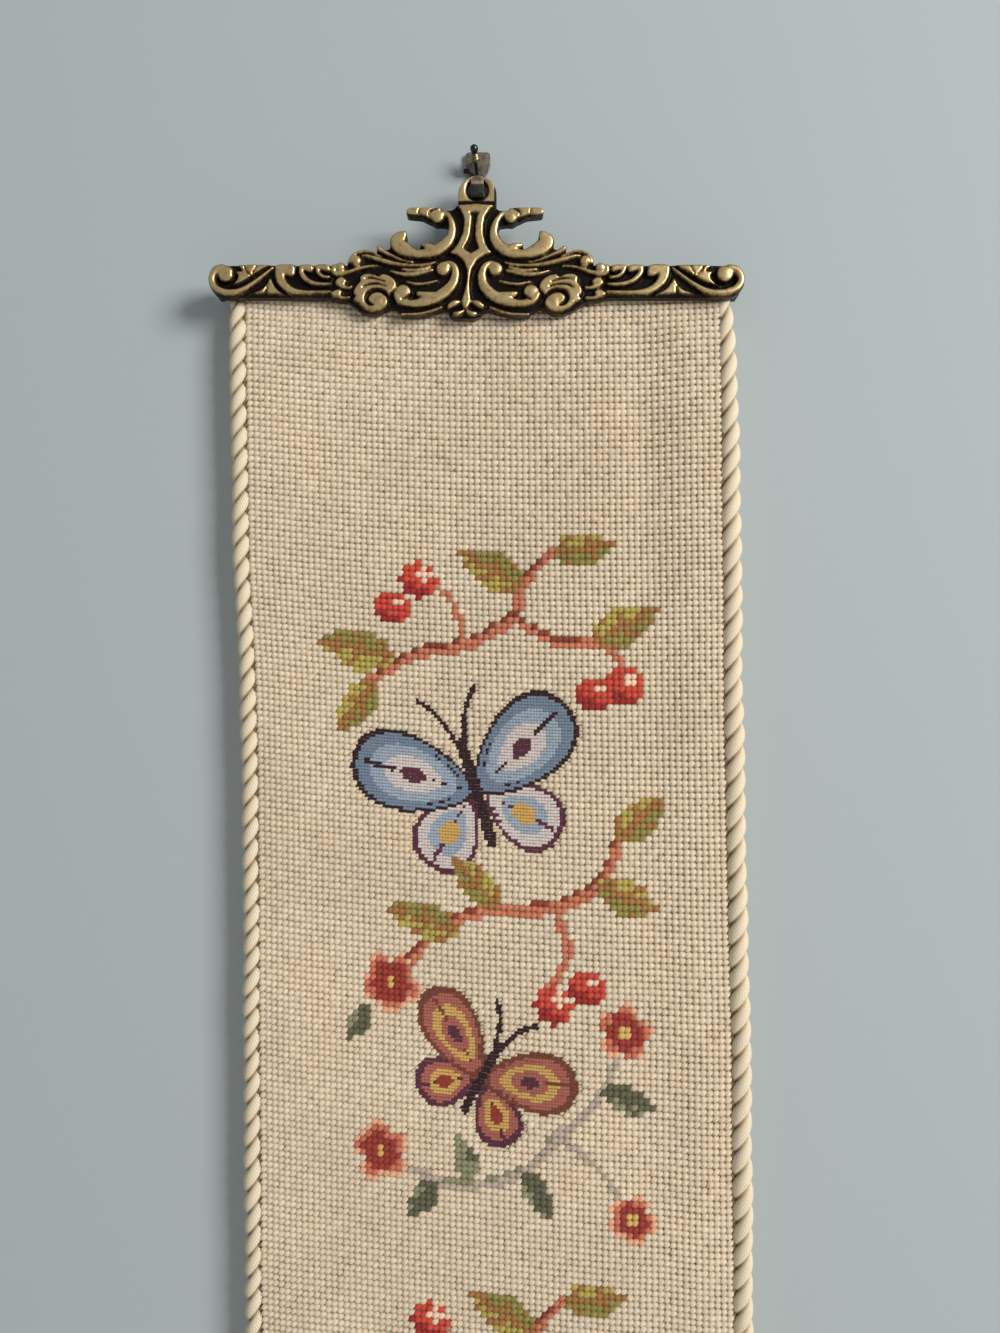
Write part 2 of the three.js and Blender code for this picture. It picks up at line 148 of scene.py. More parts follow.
# %% [markdown]
# ## Wall, floor and light
# The room is left out: a plain pale wall stands right behind the object, because the hanging's soft shadows
# on it are part of how it looks, and a plain floor lies below. The wall is seen from the front only, so
# that it doesn't hide the back of the object. The light is a large soft lamp from the right and a plain
# pale world. A weaker lamp stands behind the wall, which throws no shadow of its own, so that the back of
# the cloth shows too. It makes no glints, because they would show on the flanks of the header in front.

# %% Wall and floor
WALL_COLOUR = (0.415, 0.46, 0.462, 1)
FLOOR_COLOUR = (0.6, 0.6, 0.58, 1)
STAGE_SIZE = 6000
FLOOR_Z = -1450
WALL_GAP = 0.6  # the wall's face lies this far behind the hanging's back


def stage_material(name, colour, one_sided):
    """A matt paint. Where it is one sided, it lets everything through from behind."""
    material = bpy.data.materials.new(name)
    material.use_nodes = True
    nodes, links = material.node_tree.nodes, material.node_tree.links
    paint = nodes["Principled BSDF"]
    paint.inputs["Base Color"].default_value = colour
    paint.inputs["Roughness"].default_value = 0.9
    paint.inputs["Specular IOR Level"].default_value = 0.1
    if one_sided:
        side = nodes.new("ShaderNodeNewGeometry")
        clear = nodes.new("ShaderNodeBsdfTransparent")
        mix = nodes.new("ShaderNodeMixShader")
        links.new(side.outputs["Backfacing"], mix.inputs[0])
        links.new(paint.outputs[0], mix.inputs[1])
        links.new(clear.outputs[0], mix.inputs[2])
        links.new(mix.outputs[0], nodes["Material Output"].inputs["Surface"])
    return material


def stage_plane(name, where, turn, material):
    """A large square plane of the stage."""
    deselect_all()
    bpy.ops.mesh.primitive_plane_add(size=STAGE_SIZE * MM, location=where, rotation=turn)
    plane = finish_piece(bpy.context.object, name)
    plane.data.materials.append(material)


stage_plane("wall", place(0, -WALL_GAP, FLOOR_Z + STAGE_SIZE / 2), (math.radians(90), 0, 0),
            stage_material("wall_paint", WALL_COLOUR, one_sided=True))
stage_plane("floor", place(0, STAGE_SIZE / 2, FLOOR_Z), (0, 0, 0),
            stage_material("floor_paint", FLOOR_COLOUR, one_sided=False))
print("the stage is", STAGE_SIZE, "mm wide and its floor", -FLOOR_Z, "mm below the hook")

# %% Light
def soft_lamp(name, where, towards, size, power, colour):
    """A square area lamp that points at a place."""
    lamp_data = bpy.data.lights.new(name, "AREA")
    lamp_data.size = size
    lamp_data.energy = power
    lamp_data.color = colour
    lamp = bpy.data.objects.new(name, lamp_data)
    scene.collection.objects.link(lamp)
    lamp.location = where
    lamp.rotation_euler = (towards - where).to_track_quat("-Z", "Y").to_euler()
    return lamp


window_light = soft_lamp("window_light", place(1600, 1500, 480), place(0, 0, -200), size=0.85, power=50,
                         colour=(1, 0.985, 0.965))
back_light = soft_lamp("back_light", place(0, -2400, -150), place(0, 0, -450), size=0.4, power=32,
                       colour=(1, 1, 1))
back_light.visible_glossy = False
bpy.data.objects["wall"].visible_shadow = False
world = bpy.data.worlds.new("studio")
scene.world = world
world.use_nodes = True
sky = world.node_tree.nodes["Background"].inputs
sky["Color"].default_value = (0.9, 0.95, 1, 1)
sky["Strength"].default_value = 0.4
scene.view_settings.view_transform = "Standard"
print("the window light stands", round(window_light.location.length, 2), "m from the hook")

# %% [markdown]
# ## The header: its outline
# The header is one casting: a flat bar with round ends that swells into scrollwork. Such a relief is slow to
# push out of one mesh by hand. A die sinker draws it first, then cuts a blank to the outline and then
# carves the blank's face, and this does the same. The outline comes from a plate, from the lines of the
# bigger scrolls and from the knobs, which are laid as loose slabs and melted into one skin with a voxel
# remesh. Only one half is drawn: u is the distance from the middle line and h the height above the bar's
# middle, and both halves lean a little towards the foot.

# %% The header's sizes
CLEARANCE = 0.3
HEADER_BACK = node_box("hanging_eye")[1].y + CLEARANCE
HEADER_FRONT = node_box("header")[1].y
BAR_RADIUS = 6.3
BAR_END_U = node_box("header")[1].x - BAR_RADIUS
END_INSET = 0.3  # the plate's round end lies this far inside the line of its scroll
LEAN = 0.098
LEAN_TOP = 33.7


def leaned(u, h, side):
    """The x and z in mm of a point of the half drawing, on the right (1) or the left (-1)."""
    reach = min(u / (BAR_END_U + BAR_RADIUS), 1)
    return side * u - LEAN * (LEAN_TOP - h) * (1 - reach ** 3), BAR_Z + h


print("the header's back is", round(HEADER_BACK, 2), "mm and its front", round(HEADER_FRONT, 2),
      "mm off the wall")

# %% The plate's outline
# Columns: u, h.
PLATE_TOP = [
    (0, 28.4), (7.6, 27.8), (9, 26.8), (14, 26.9), (20.5, 27.1), (24, 27), (25.4, 26.4), (25.8, 25.3),
    (25.2, 24.5), (22, 24.2), (19.6, 23.9), (17.4, 22.8), (14.6, 21.6), (9.8, 21), (9, 19.4), (10, 17.2),
    (12, 14.6), (16, 13), (19, 13), (20.2, 11.6), (23.4, 12), (25.2, 14), (26.8, 16.6), (28.4, 16.4),
    (30, 14.4), (31, 12.2), (34.4, 12), (36, 10.4), (39.6, 11), (43, 10), (44.6, 8), (45.6, 6.2), (47.4, 6),
    (74, 6.1), (76, 6.2), (90, 6.1),
]
PLATE_BOTTOM = [
    (74, -6), (52, -6), (49.6, -7), (45, -7.4), (42.8, -8.8), (40.4, -10.6), (36.8, -12.2), (33, -12.2),
    (29.6, -10.2), (27.4, -9.6), (24.6, -11.6), (24.4, -13), (18.6, -13), (12.8, -12), (8.4, -10.4),
    (6.6, -11), (5.6, -13), (3.6, -14), (0, -13.8),
]


def round_end(corners=14):
    """The half circle at the end of the bar."""
    angles = [math.pi * (0.5 - i / corners) for i in range(corners + 1)]
    radius = BAR_RADIUS - END_INSET
    return [(BAR_END_U + radius * math.cos(a), radius * math.sin(a)) for a in angles]


def both_halves(points):
    """A closed outline from the right half's points, which start and end on the middle line."""
    right = [leaned(u, h, 1) for u, h in points]
    left = [leaned(u, h, -1) for u, h in reversed(points) if u > 0]
    return right + left


def slab(corners, push):
    """A flat face with these corners, extruded by a push."""
    deselect_all()
    bpy.ops.mesh.primitive_circle_add(vertices=len(corners), fill_type="NGON")
    piece = bpy.context.object
    for vertex, corner in zip(piece.data.vertices, corners):
        vertex.co = corner
    bpy.ops.object.mode_set(mode="EDIT")
    bpy.ops.mesh.select_all(action="SELECT")
    bpy.ops.mesh.extrude_region_move(TRANSFORM_OT_translate={"value": push})
    bpy.ops.mesh.select_all(action="SELECT")
    bpy.ops.mesh.normals_make_consistent(inside=False)
    bpy.ops.object.mode_set(mode="OBJECT")
    return piece


def raised_plate(outline, back, front):
    """A slab with this outline of (x, z), from its back's to its front's distance off the wall."""
    return slab([place(x, back, z) for x, z in outline], (0, (back - front) * MM, 0))


BLANK_BACK = HEADER_BACK - 1  # the blank starts behind the header's back, and is cut flat there later
casting = [raised_plate(both_halves(PLATE_TOP + round_end() + PLATE_BOTTOM), BLANK_BACK, HEADER_FRONT)]
print("the plate has", len(casting[0].data.vertices), "corners")

# %% The lines of the relief
# Columns: u, h, width.
SCROLLS = {
    "end_hook": [
        (95, 4.9, 2.6), (97.6, 3.8, 3.2), (99.1, 0.9, 2.9), (98.4, -1.9, 3), (96, -3.8, 3),
        (91.8, -4.6, 2.7), (87.8, -4.1, 2.5), (84.1, -2.2, 2.1), (80.8, 0.1, 1.8), (77.7, 2.5, 1.5),
        (75, 4.8, 1.1),
    ],
    "crest_rim": [
        (45.6, 6.7, 1.2), (44.8, 9, 1.3), (42, 10.8, 1.3), (39, 11.1, 1.2), (36.4, 10.3, 1),
        (33.9, 9.1, 0.9),
    ],
    "upper_scroll": [
        (26.2, 16.9, 4), (27.7, 14.8, 6.2), (26.4, 12.6, 6.2), (23.3, 10.9, 4.8), (19.5, 9.9, 3.4),
        (15.3, 10.4, 4.2), (12.4, 11.6, 4.6), (9.6, 13.8, 4.5), (8, 16.7, 3.7), (7.9, 20, 3.2),
        (8.9, 23, 2.5), (10.6, 25, 2.2), (12.7, 25.2, 2.2),
    ],
    "upper_tongue": [(18.6, 13.3, 1.7), (16.5, 12.8, 2.7), (14.1, 12.2, 2.7)],
    "lower_scroll": [
        (9.4, 6.5, 1.8), (7.4, 6.4, 2.3), (5.8, 5.2, 2.8), (5, 3, 3.3), (5.1, 0.8, 3.7), (5.9, -1.7, 4.1),
        (8, -4.2, 4.5), (11.4, -6.4, 4.4), (15.2, -7.8, 4.1), (19, -8.6, 3.2), (22.2, -8.4, 3),
        (25.2, -7, 3.4), (26.4, -5.2, 2.6),
    ],
    "lower_tongue": [(18.1, -5, 2.3), (15.7, -5.4, 2.7), (12.4, -5.2, 2.3)],
    "shell_rim": [(40, -7, 3), (38.4, -9.2, 2.3), (36.2, -10.6, 2), (33.4, -11, 1.7), (31, -9.8, 1.6)],
    "foot_tip": [(0.9, -11.6, 1.6), (2.8, -12.5, 2.3), (4, -12.4, 1.8)],
    "wedge": [(34.7, 12, 2.3), (31.8, 10.3, 1.8), (28.6, 9, 1.3), (25.4, 7.8, 0.9), (21.8, 7.2, 0.5)],
}
# The finer lines lie on the plate, so they aren't needed for its outline.
RIBS = {
    "crest": [
        (40.8, 9.3, 0.7), (39.1, 9.3, 1.1), (36.6, 8.5, 1.5), (34, 7.8, 1.7), (30.8, 6.9, 1.7),
        (26.2, 6.1, 1.2), (20.9, 5.8, 1), (15.9, 6.2, 0.8), (13.1, 7, 0.5),
    ],
    "long_rib": [
        (51, 5, 2), (51.1, 3.2, 2), (49.2, 2.5, 1.7), (45.2, 3.3, 1.4), (41.5, 4.6, 1.2), (37.5, 5.5, 0.8),
        (34.8, 5.6, 0.5),
    ],
    "low_rib": [(29.7, 3.8, 0.5), (26.5, 2.7, 1.3), (22.2, 2.3, 1.6), (17.9, 2.9, 1.3), (13.8, 4, 0.7)],
    "ragged_rib": [(25, 4.3, 0.7), (21.1, 3.9, 1.1), (17.7, 4.3, 1.1), (14.7, 5.2, 0.5)],
    "flow": [(11.8, 0, 0.5), (15.9, -1, 0.9), (19.3, -1.2, 1), (23.2, -0.3, 0.5)],
    "foot_bud": [(2.8, -8.1, 1.6), (4.2, -8.6, 2.3), (6, -9.6, 1.9)],
    "lip": [(9.1, -9.8, 0.5), (13.3, -11.4, 0.7), (17.7, -12.4, 0.8), (23.7, -12.6, 0.9)],
}
# Columns: u, h, radius.
KNOBS = [
    (93.5, 2.5, 3.2), (48.7, 4.8, 2), (43, 7.2, 2.3), (32.8, -8, 2.8), (13.7, 23.8, 2.6), (24, -4.5, 3.1),
    (9.8, 4.3, 2.8),
]
print(len(SCROLLS) + len(RIBS), "lines and", len(KNOBS), "knobs on each side")

# %% The rest of the blank
def smooth_line(path, steps=5):
    """More rows between those of a path, on a smooth line through them."""
    rows = np.array([path[0], *path, path[-1]], dtype=float)
    fine = []
    for a, b, c, d in zip(rows, rows[1:], rows[2:], rows[3:]):
        for t in np.arange(steps) / steps:
            fine.append(b + 0.5 * t * (c - a + t * (2 * a - 5 * b + 4 * c - d + t * (3 * (b - c) + d - a))))
    return np.array([*fine, rows[-1]])


def drawn(path, side):
    """A smooth line's x, z and width in mm on one side."""
    return np.array([(*leaned(u, h, side), width) for u, h, width in smooth_line(path)])


def disc(x, z, radius, corners=20):
    """A circle's corners."""
    turns = [2 * math.pi * i / corners for i in range(corners)]
    return [(x + radius * math.cos(turn), z + radius * math.sin(turn)) for turn in turns]


def ribbon(line):
    """The outline of a line with its widths, with a half circle at each end."""
    ways = np.gradient(line[:, :2], axis=0)
    ways /= np.linalg.norm(ways, axis=1)[:, None]
    half = line[:, 2:] / 2
    left = line[:, :2] + half * ways[:, ::-1] * [-1, 1]
    right = line[:, :2] - half * ways[:, ::-1] * [-1, 1]
    first = [line[0, :2] - half[0] * ways[0]]
    last = [line[-1, :2] + half[-1] * ways[-1]]
    return [tuple(point) for point in [*first, *left, *last, *right[::-1]]]


for side in (1, -1):
    for path in SCROLLS.values():
        casting.append(raised_plate(ribbon(drawn(path, side)), BLANK_BACK, HEADER_FRONT))
    for u, h, radius in KNOBS:
        casting.append(raised_plate(disc(*leaned(u, h, side), radius), BLANK_BACK, HEADER_FRONT))
print(len(casting), "slabs")

# %% Melt the slabs into one blank
VOXEL = 0.35

for shape in casting:
    finish_piece(shape, "casting_shape")
header = join_pieces(casting)
apply_modifier(header, "REMESH", mode="VOXEL", voxel_size=VOXEL * MM)
apply_modifier(header, "SMOOTH", factor=0.5, iterations=2)
bpy.ops.object.mode_set(mode="EDIT")
bpy.ops.mesh.select_all(action="SELECT")
bpy.ops.mesh.bisect(plane_co=place(0, HEADER_BACK, 0), plane_no=(0, 1, 0), clear_outer=True, use_fill=True,
                    threshold=1e-6)
bpy.ops.object.mode_set(mode="OBJECT")
header = finish_piece(header, "header_casting")
print("the blank has", triangles(header), "triangles")

# %% [markdown]
# ## The header: its relief
# Now the face is carved: each point of the blank moves back to the height that the relief has at its place.
# A line of the relief is a band with a gently domed crown and round shoulders, and a knob is a low dome. The
# shield in the middle and the leaves, commas and shells beside it are flat fields with round shoulders. Then
# the keyhole, the broad hollows and the fine slits are cut, as gouges along a line. The same sums also say
# where the crowns are, because polishing reaches only those. That is kept as an attribute for the material
# to read, and it is blurred a little, because a cloth rubs softly over an edge.

# %% Tools for carving
def read_points(piece):
    """A mesh's points as rows of x, off, z in mm."""
    values = np.empty(3 * len(piece.data.vertices), dtype=np.float32)
    piece.data.vertices.foreach_get("co", values)
    return values.reshape(-1, 3) * [1, -1, 1] / MM


def read_normals(piece):
    """The way each point of a mesh faces, in Blender's axes."""
    values = np.empty(3 * len(piece.data.vertices), dtype=np.float32)
    piece.data.vertex_normals.foreach_get("vector", values)
    return values.reshape(-1, 3)


def read_facing(piece):
    """How squarely each point of a mesh faces the front: 1 straight at it, 0 sideways."""
    return -read_normals(piece)[:, 1]


def write_points(piece, points):
    """Puts rows of x, off, z in mm back into a mesh."""
    piece.data.vertices.foreach_set("co", (points * [MM, -MM, MM]).astype(np.float32).ravel())
    piece.data.update()


def set_attribute(piece, name, values):
    """Keeps one number for each point of a mesh."""
    attribute = piece.data.attributes.new(name, "FLOAT", "POINT")
    attribute.data.foreach_set("value", np.asarray(values, dtype=np.float32))


def rise(values, low, high):
    """0 below low, 1 above high, and a soft step between."""
    share = np.clip((values - low) / (high - low), 0, 1)
    return share * share * (3 - 2 * share)


def near_box(points, corners, margin):
    """Which points are within a margin of a box round some corners, seen from the front."""
    low = np.min(corners, axis=0) - margin
    high = np.max(corners, axis=0) + margin
    flat = points[:, [0, 2]]
    return np.flatnonzero(np.all((flat > low) & (flat < high), axis=1))


def line_gap(points, line):
    """Each point's distance from a line of (x, z, width), and the line's half width there."""
    gap = np.full(len(points), np.inf)
    half = np.ones(len(points))
    for start, end in zip(line, line[1:]):
        along = end[:2] - start[:2]
        beside = points[:, [0, 2]] - start[:2]
        share = np.clip(beside @ along / (along @ along), 0, 1)
        distance = np.linalg.norm(beside - share[:, None] * along, axis=1)
        closer = distance < gap
        gap[closer] = distance[closer]
        half[closer] = (start[2] + share * (end[2] - start[2]))[closer] / 2
    return gap, half


def depth_inside(points, outline):
    """How far each point is inside a closed outline of (x, z), or less than 0 outside it."""
    x, z = points[:, 0], points[:, 2]
    gap = np.full(len(points), np.inf)
    inside = np.zeros(len(points), dtype=bool)
    for (x0, z0), (x1, z1) in zip(outline, outline[1:] + outline[:1]):
        long_squared = max((x1 - x0) ** 2 + (z1 - z0) ** 2, 1e-12)
        share = np.clip(((x - x0) * (x1 - x0) + (z - z0) * (z1 - z0)) / long_squared, 0, 1)
        gap = np.minimum(gap, np.hypot(x - x0 - share * (x1 - x0), z - z0 - share * (z1 - z0)))
        if z0 != z1:
            inside ^= ((z0 > z) != (z1 > z)) & (x < x0 + (z - z0) / (z1 - z0) * (x1 - x0))
    return np.where(inside, gap, -gap)

# %% The broad fields
# Columns: u, h.
SHIELD = [
    (0, 29), (7.6, 28.2), (5.6, 26.3), (4.1, 23.4), (3.8, 20.4), (4.1, 17.4), (5.2, 14), (6.6, 11.8),
    (8.4, 10.1), (5.4, 9.3), (2.7, 7.2), (1.1, 4), (0.7, 1.3), (0.8, -1.7), (1.3, -4.8), (2, -7.8),
    (1.2, -10.2), (0, -11.6),
]
KEYHOLE = [(0, 25.4), (1.9, 25.4), (1, 23.8), (1, 20), (1.1, 16.8), (1.6, 14.6), (3, 11.8), (0, 10)]
SIDE_FIELDS = {
    "small_leaf": [
        (75.8, 1.3), (77.1, -1.2), (79.6, -3.4), (85.5, -5.5), (82, -5.1), (77, -5), (72.7, -5.1),
        (68.6, -5.6), (71.9, -3.7), (74, -1.6),
    ],
    "wing": [
        (26.4, 25.5), (25.8, 26.8), (24, 27.6), (20.5, 27.6), (17, 27.5), (13.4, 27.4), (12.6, 25.6),
        (15, 22.9), (17.6, 23.3), (19.8, 24), (22.3, 24), (24.6, 23.9), (26, 24.6),
    ],
    "end_fan": [
        (88.3, 5.9), (74.9, 5.8), (77.1, 4.5), (80.5, 2.6), (83, 1.3), (86, -0.4), (89.5, -1.6),
        (93.4, -2.2), (90, -0.8), (88.5, 1.7), (89.6, 3.4), (86.9, 3.7),
    ],
    "first_comma": [
        (73.2, 5.8), (66.5, 5.8), (65.9, 1.8), (67.2, 1.4), (68.4, 1.3), (69.8, 2), (68.8, -0.5),
        (66.1, -2.6), (62.5, -3.5), (57, -3.7), (51.8, -3.7), (52, -4.9), (59.4, -5.5), (65.4, -5.6),
        (68.5, -4.8), (71.6, -2.5), (73.4, 0), (74, 3.3),
    ],
    "second_comma": [
        (64, 5.8), (59.4, 5.8), (58.8, 3.2), (60.6, 2.9), (62.5, 3.6), (61, 1.4), (58.4, -0.1), (54.9, -0.7),
        (51.3, -0.8), (51.8, -1.8), (55.2, -2.4), (59.7, -1.8), (62.8, -0.1), (64.5, 2.4), (64.6, 4.7),
    ],
    "third_comma": [
        (58.1, 5.8), (53, 5.8), (52.6, 3.2), (54.2, 3), (56.2, 3.7), (55.4, 2.6), (54.2, 2), (52.2, 1.7),
        (52.2, 0.5), (55, 0.6), (57.3, 1.8), (58.3, 3.8),
    ],
    "upper_bud": [
        (48.9, 1.4), (47.2, 1.4), (45.8, -0.1), (46.3, -1.4), (45, -1.9), (43.5, -1.6), (43.6, -3.1),
        (46.3, -3.3), (48.8, -2.6), (50.3, -1.2), (50.2, 0.2),
    ],
    "lower_bud": [
        (49.7, -3.2), (48, -3.2), (47.2, -4.5), (47.6, -5.4), (46.1, -5.7), (44, -5.7), (44.2, -6.8),
        (47.5, -7), (49.8, -6.3), (51.6, -5.6), (51.2, -4.1),
    ],
    "shell": [
        (26.8, -0.9), (28.2, 0.9), (30.7, 2.2), (32.8, 2.4), (33.8, 1.5), (35.6, 2.3), (38.2, 2.6),
        (40.1, 2.1), (41, 0.9), (40.8, -0.5), (42, -1.9), (42.8, -3.6), (42.9, -5.2), (42, -5.9),
        (42.9, -7.2), (41.5, -8.2), (39.8, -8.7), (38.2, -10), (36.2, -11.3), (34.1, -11.8), (31.9, -11.4),
        (30, -10.2), (29, -8.4), (29, -6.6), (28.6, -5.2), (27.3, -3.8), (26.6, -2.4),
    ],
}
# How much lower than the shield these fields are.
FIELD_DROP = {"small_leaf": 1, "end_fan": 0.5, "upper_bud": 0.8, "lower_bud": 0.8}
print("the shield, the keyhole and", len(SIDE_FIELDS), "fields on each side")

# %% The hollows and slits
# Columns: u, h, width.
HOLLOWS = [
    [
        (28.9, -8.8, 0.6), (29.3, -6.8, 1), (30.7, -5, 1.4), (32.8, -3.9, 1.6), (35.2, -4, 1.7),
        (37, -5.2, 1.8), (37.5, -7, 1.6), (36.6, -8.7, 1.2), (34.9, -9.3, 0.6),
    ],
    [(90, 3.2, 1), (89.8, 0.6, 1.5), (92.4, -1.6, 1.2), (95.6, -1, 1), (97, 1.2, 0.8)],
    [(93.4, -2.9, 0.6), (88.5, -2, 1), (84, 0.4, 1.1), (79.5, 3.3, 1), (75.4, 5.6, 0.7)],
    [(10.2, 10, 0.5), (8.6, 10.6, 0.4)],
]
SLITS = [
    [(20.4, 27.4, 0.3), (21, 25.6, 0.4), (20.6, 24, 0.4)],
    [(14.2, 26.7, 0.5), (16, 26, 0.7), (17.2, 24.7, 0.5), (16.8, 23.6, 0.4)],
    [(31, -0.7, 0.4), (33.6, 0.2, 0.6), (36.4, 0.7, 0.6), (38.9, 0.5, 0.3)],
    [(30.6, -2.4, 0.3), (33.7, -1.5, 0.7), (37, -1.6, 0.7), (39.6, -2.9, 0.3)],
    [(76.7, -2.2, 0.5), (77.2, -4.4, 1.1)],
    [(85.7, 6.4, 0.5), (85.7, 4.3, 0.5), (83.6, 1.9, 0.3)],
    [(80.8, 6.4, 0.4), (82.8, 2.6, 0.4)],
    [(0, -10.6, 0.3), (0, -14, 0.8)],
    [(43.8, 6.2, 0.4), (45.4, 5.2, 0.5)],
    [(24.2, -7.4, 0.5), (21.8, -6, 0.9), (20.4, -5.4, 1)],
]
print(len(HOLLOWS), "hollows and", len(SLITS), "slits on each side")

# %% Heights of the relief
# Heights are above the header's back.
PLATE_HIGH = 3.3
RELIEF_HIGH = HEADER_FRONT - HEADER_BACK - 0.15
KNOB_HIGH = RELIEF_HIGH + 0.1
FIELD_HIGH = RELIEF_HIGH - 0.1
BAND_LEAST = 0.9  # how much even the narrowest band stands above the plate
BAND_GROWTH = 1.25  # how much higher a band is for each mm of its half width
SHOULDER = 0.9
SPREAD = 0.15  # how much further than its line a band's foot reaches
RIB_EXTRA = 0.4  # fine ribs are this much wider than drawn
CROWN = 0.35  # how much higher a band is in its middle than at its shoulders
KNOB_CROWN = 1.6 * CROWN
POLISHED = (0.05, 0.75)  # between these shares of its shoulder a band begins to be rubbed
LINE_REACH = 4  # no line of the relief reaches further than this
FIELD_REACH = 0.1


def band_high(half):
    """How high a band's crown stands: narrow bands are lower."""
    return np.minimum(PLATE_HIGH + BAND_LEAST + BAND_GROWTH * half, RELIEF_HIGH)


def raise_band(high, crown, spots, inside, shoulder, top):
    """Lifts what is inside a band's edge, with a round shoulder, and marks its crown."""
    step = np.clip(inside / shoulder, 0, 1)
    level = PLATE_HIGH + (top - PLATE_HIGH) * np.sqrt(1 - (1 - step) ** 2)
    high[spots] = np.maximum(high[spots], level)
    crown[spots] = np.maximum(crown[spots], rise(inside / shoulder, *POLISHED))


def closed_line(outline, steps=3):
    """A closed outline of (x, z) with its corners rounded."""
    rows = [(x, z, 0) for x, z in outline]
    wrapped = smooth_line([*rows[-2:], *rows, *rows[:2]], steps)
    return [(x, z) for x, z, _ in wrapped[2 * steps:2 * steps + len(outline) * steps].tolist()]

# %% Raise the bands, knobs and fields
points = read_points(header)
high = np.full(len(points), PLATE_HIGH)
crown = np.zeros(len(points))
for side in (1, -1):
    for path in [*SCROLLS.values(), *RIBS.values()]:
        line = drawn(path, side)
        line[:, 2] += RIB_EXTRA * (path in RIBS.values())
        spots = near_box(points, line[:, :2], LINE_REACH)
        gap, half = line_gap(points[spots], line)
        dome = CROWN * np.clip(gap / half, 0, 1) ** 2
        shoulder = np.minimum(SHOULDER, half)
        raise_band(high, crown, spots, half + SPREAD - gap, shoulder, band_high(half) - dome)
    for u, h, radius in KNOBS:
        centre = np.array([leaned(u, h, side)])
        spots = near_box(points, centre, radius)
        gap = np.linalg.norm(points[spots][:, [0, 2]] - centre, axis=1)
        dome = KNOB_CROWN * np.clip(gap / radius, 0, 1) ** 2
        raise_band(high, crown, spots, radius + SPREAD - gap, SHOULDER, KNOB_HIGH - dome)
fields = [(both_halves(SHIELD), FIELD_HIGH)]
for name, outline in SIDE_FIELDS.items():
    for side in (1, -1):
        round_outline = closed_line([leaned(u, h, side) for u, h in outline])
        fields.append((round_outline, FIELD_HIGH - FIELD_DROP.get(name, 0)))
for outline, top in fields:
    spots = near_box(points, np.array(outline), FIELD_REACH)
    inside = depth_inside(points[spots], outline)
    raise_band(high, crown, spots, inside + SPREAD, SHOULDER, top)
print("the relief stands", round(float(high.max()), 2), "mm above the back")

# %% Cut the keyhole, hollows and slits
KEYHOLE_DEPTH = 1.9
KEYHOLE_EDGE = (-0.15, 0.45)
# Columns: lines, how deep they are cut, the least height that is left.
GOUGES = [(HOLLOWS, 2.1, PLATE_HIGH - 0.3), (SLITS, 1.1, PLATE_HIGH)]
GOUGE_EDGE = (0.4, 1.3)  # in shares of the half width

keyhole = rise(depth_inside(points, both_halves(KEYHOLE)), *KEYHOLE_EDGE)
high -= KEYHOLE_DEPTH * keyhole
crown *= 1 - keyhole
for paths, depth, least in GOUGES:
    for side in (1, -1):
        for path in paths:
            line = drawn(path, side)
            spots = near_box(points, line[:, :2], LINE_REACH)
            gap, half = line_gap(points[spots], line)
            near = 1 - rise(gap / half, *GOUGE_EDGE)
            high[spots] = np.maximum(high[spots] - depth * near, np.minimum(high[spots], least))
            crown[spots] *= 1 - near
blank_high = np.clip((points[:, 1] - HEADER_BACK) / (HEADER_FRONT - HEADER_BACK), 0, 1)
points[:, 1] = HEADER_BACK + blank_high * high
write_points(header, points)
apply_modifier(header, "SMOOTH", factor=0.5, iterations=2)
bpy.ops.object.shade_smooth_by_angle(angle=math.radians(75))
print("the cuts leave at least", round(float(high.min()), 2), "mm of metal")

# %% Where polishing reaches
FACE_EDGE = (0.1, 0.5)  # how squarely a point faces the front when it is rubbed not at all, and fully
FACE_SHARE = 0.8  # only points in this share of the blank's height belong to its face
FLANK_EDGE = (0.1, 0.3)
FLANK_TONE = 0.24  # how far the flanks are rubbed
BLUR_ROUNDS = 3

facing = read_facing(header)
rubbed = crown * rise(facing, *FACE_EDGE) * (blank_high > FACE_SHARE)
rubbed = np.maximum(rubbed, FLANK_TONE * (1 - rise(np.abs(facing), *FLANK_EDGE)))
edges = np.empty(2 * len(header.data.edges), dtype=np.int32)
header.data.edges.foreach_get("vertices", edges)
starts, ends = edges.reshape(-1, 2).T
neighbours = np.bincount(edges, minlength=len(points))
for blur_round in range(BLUR_ROUNDS):
    around = np.bincount(starts, rubbed[ends], len(points)) + np.bincount(ends, rubbed[starts], len(points))
    rubbed = (rubbed + around / neighbours) / 2
set_attribute(header, "rubbed", rubbed)
print(round(100 * float((rubbed > 0.5).mean())), "% of the header's points are rubbed")

# %% [markdown]
# ## Antique brass
# New brass is one bright colour. Antique brass is dipped to turn it nearly black and then rubbed, so the
# tops of the relief are warm and satin, the recesses stay black, and the border between them is ragged.
# One attribute drives colour, metal and gloss together, and a little noise makes its edge uneven.

# %% Helpers for materials
def new_material(name):
    """A material with its nodes, links and main shader."""
    material = bpy.data.materials.new(name)
    material.use_nodes = True
    nodes = material.node_tree.nodes
    return material, nodes, material.node_tree.links, nodes["Principled BSDF"]


def add_node(nodes, kind, **settings):
    """A node with some of its settings and unlinked inputs set."""
    node = nodes.new("ShaderNode" + kind)
    for key, value in settings.items():
        if key in node.inputs:
            node.inputs[key].default_value = value
        else:
            setattr(node, key, value)
    return node


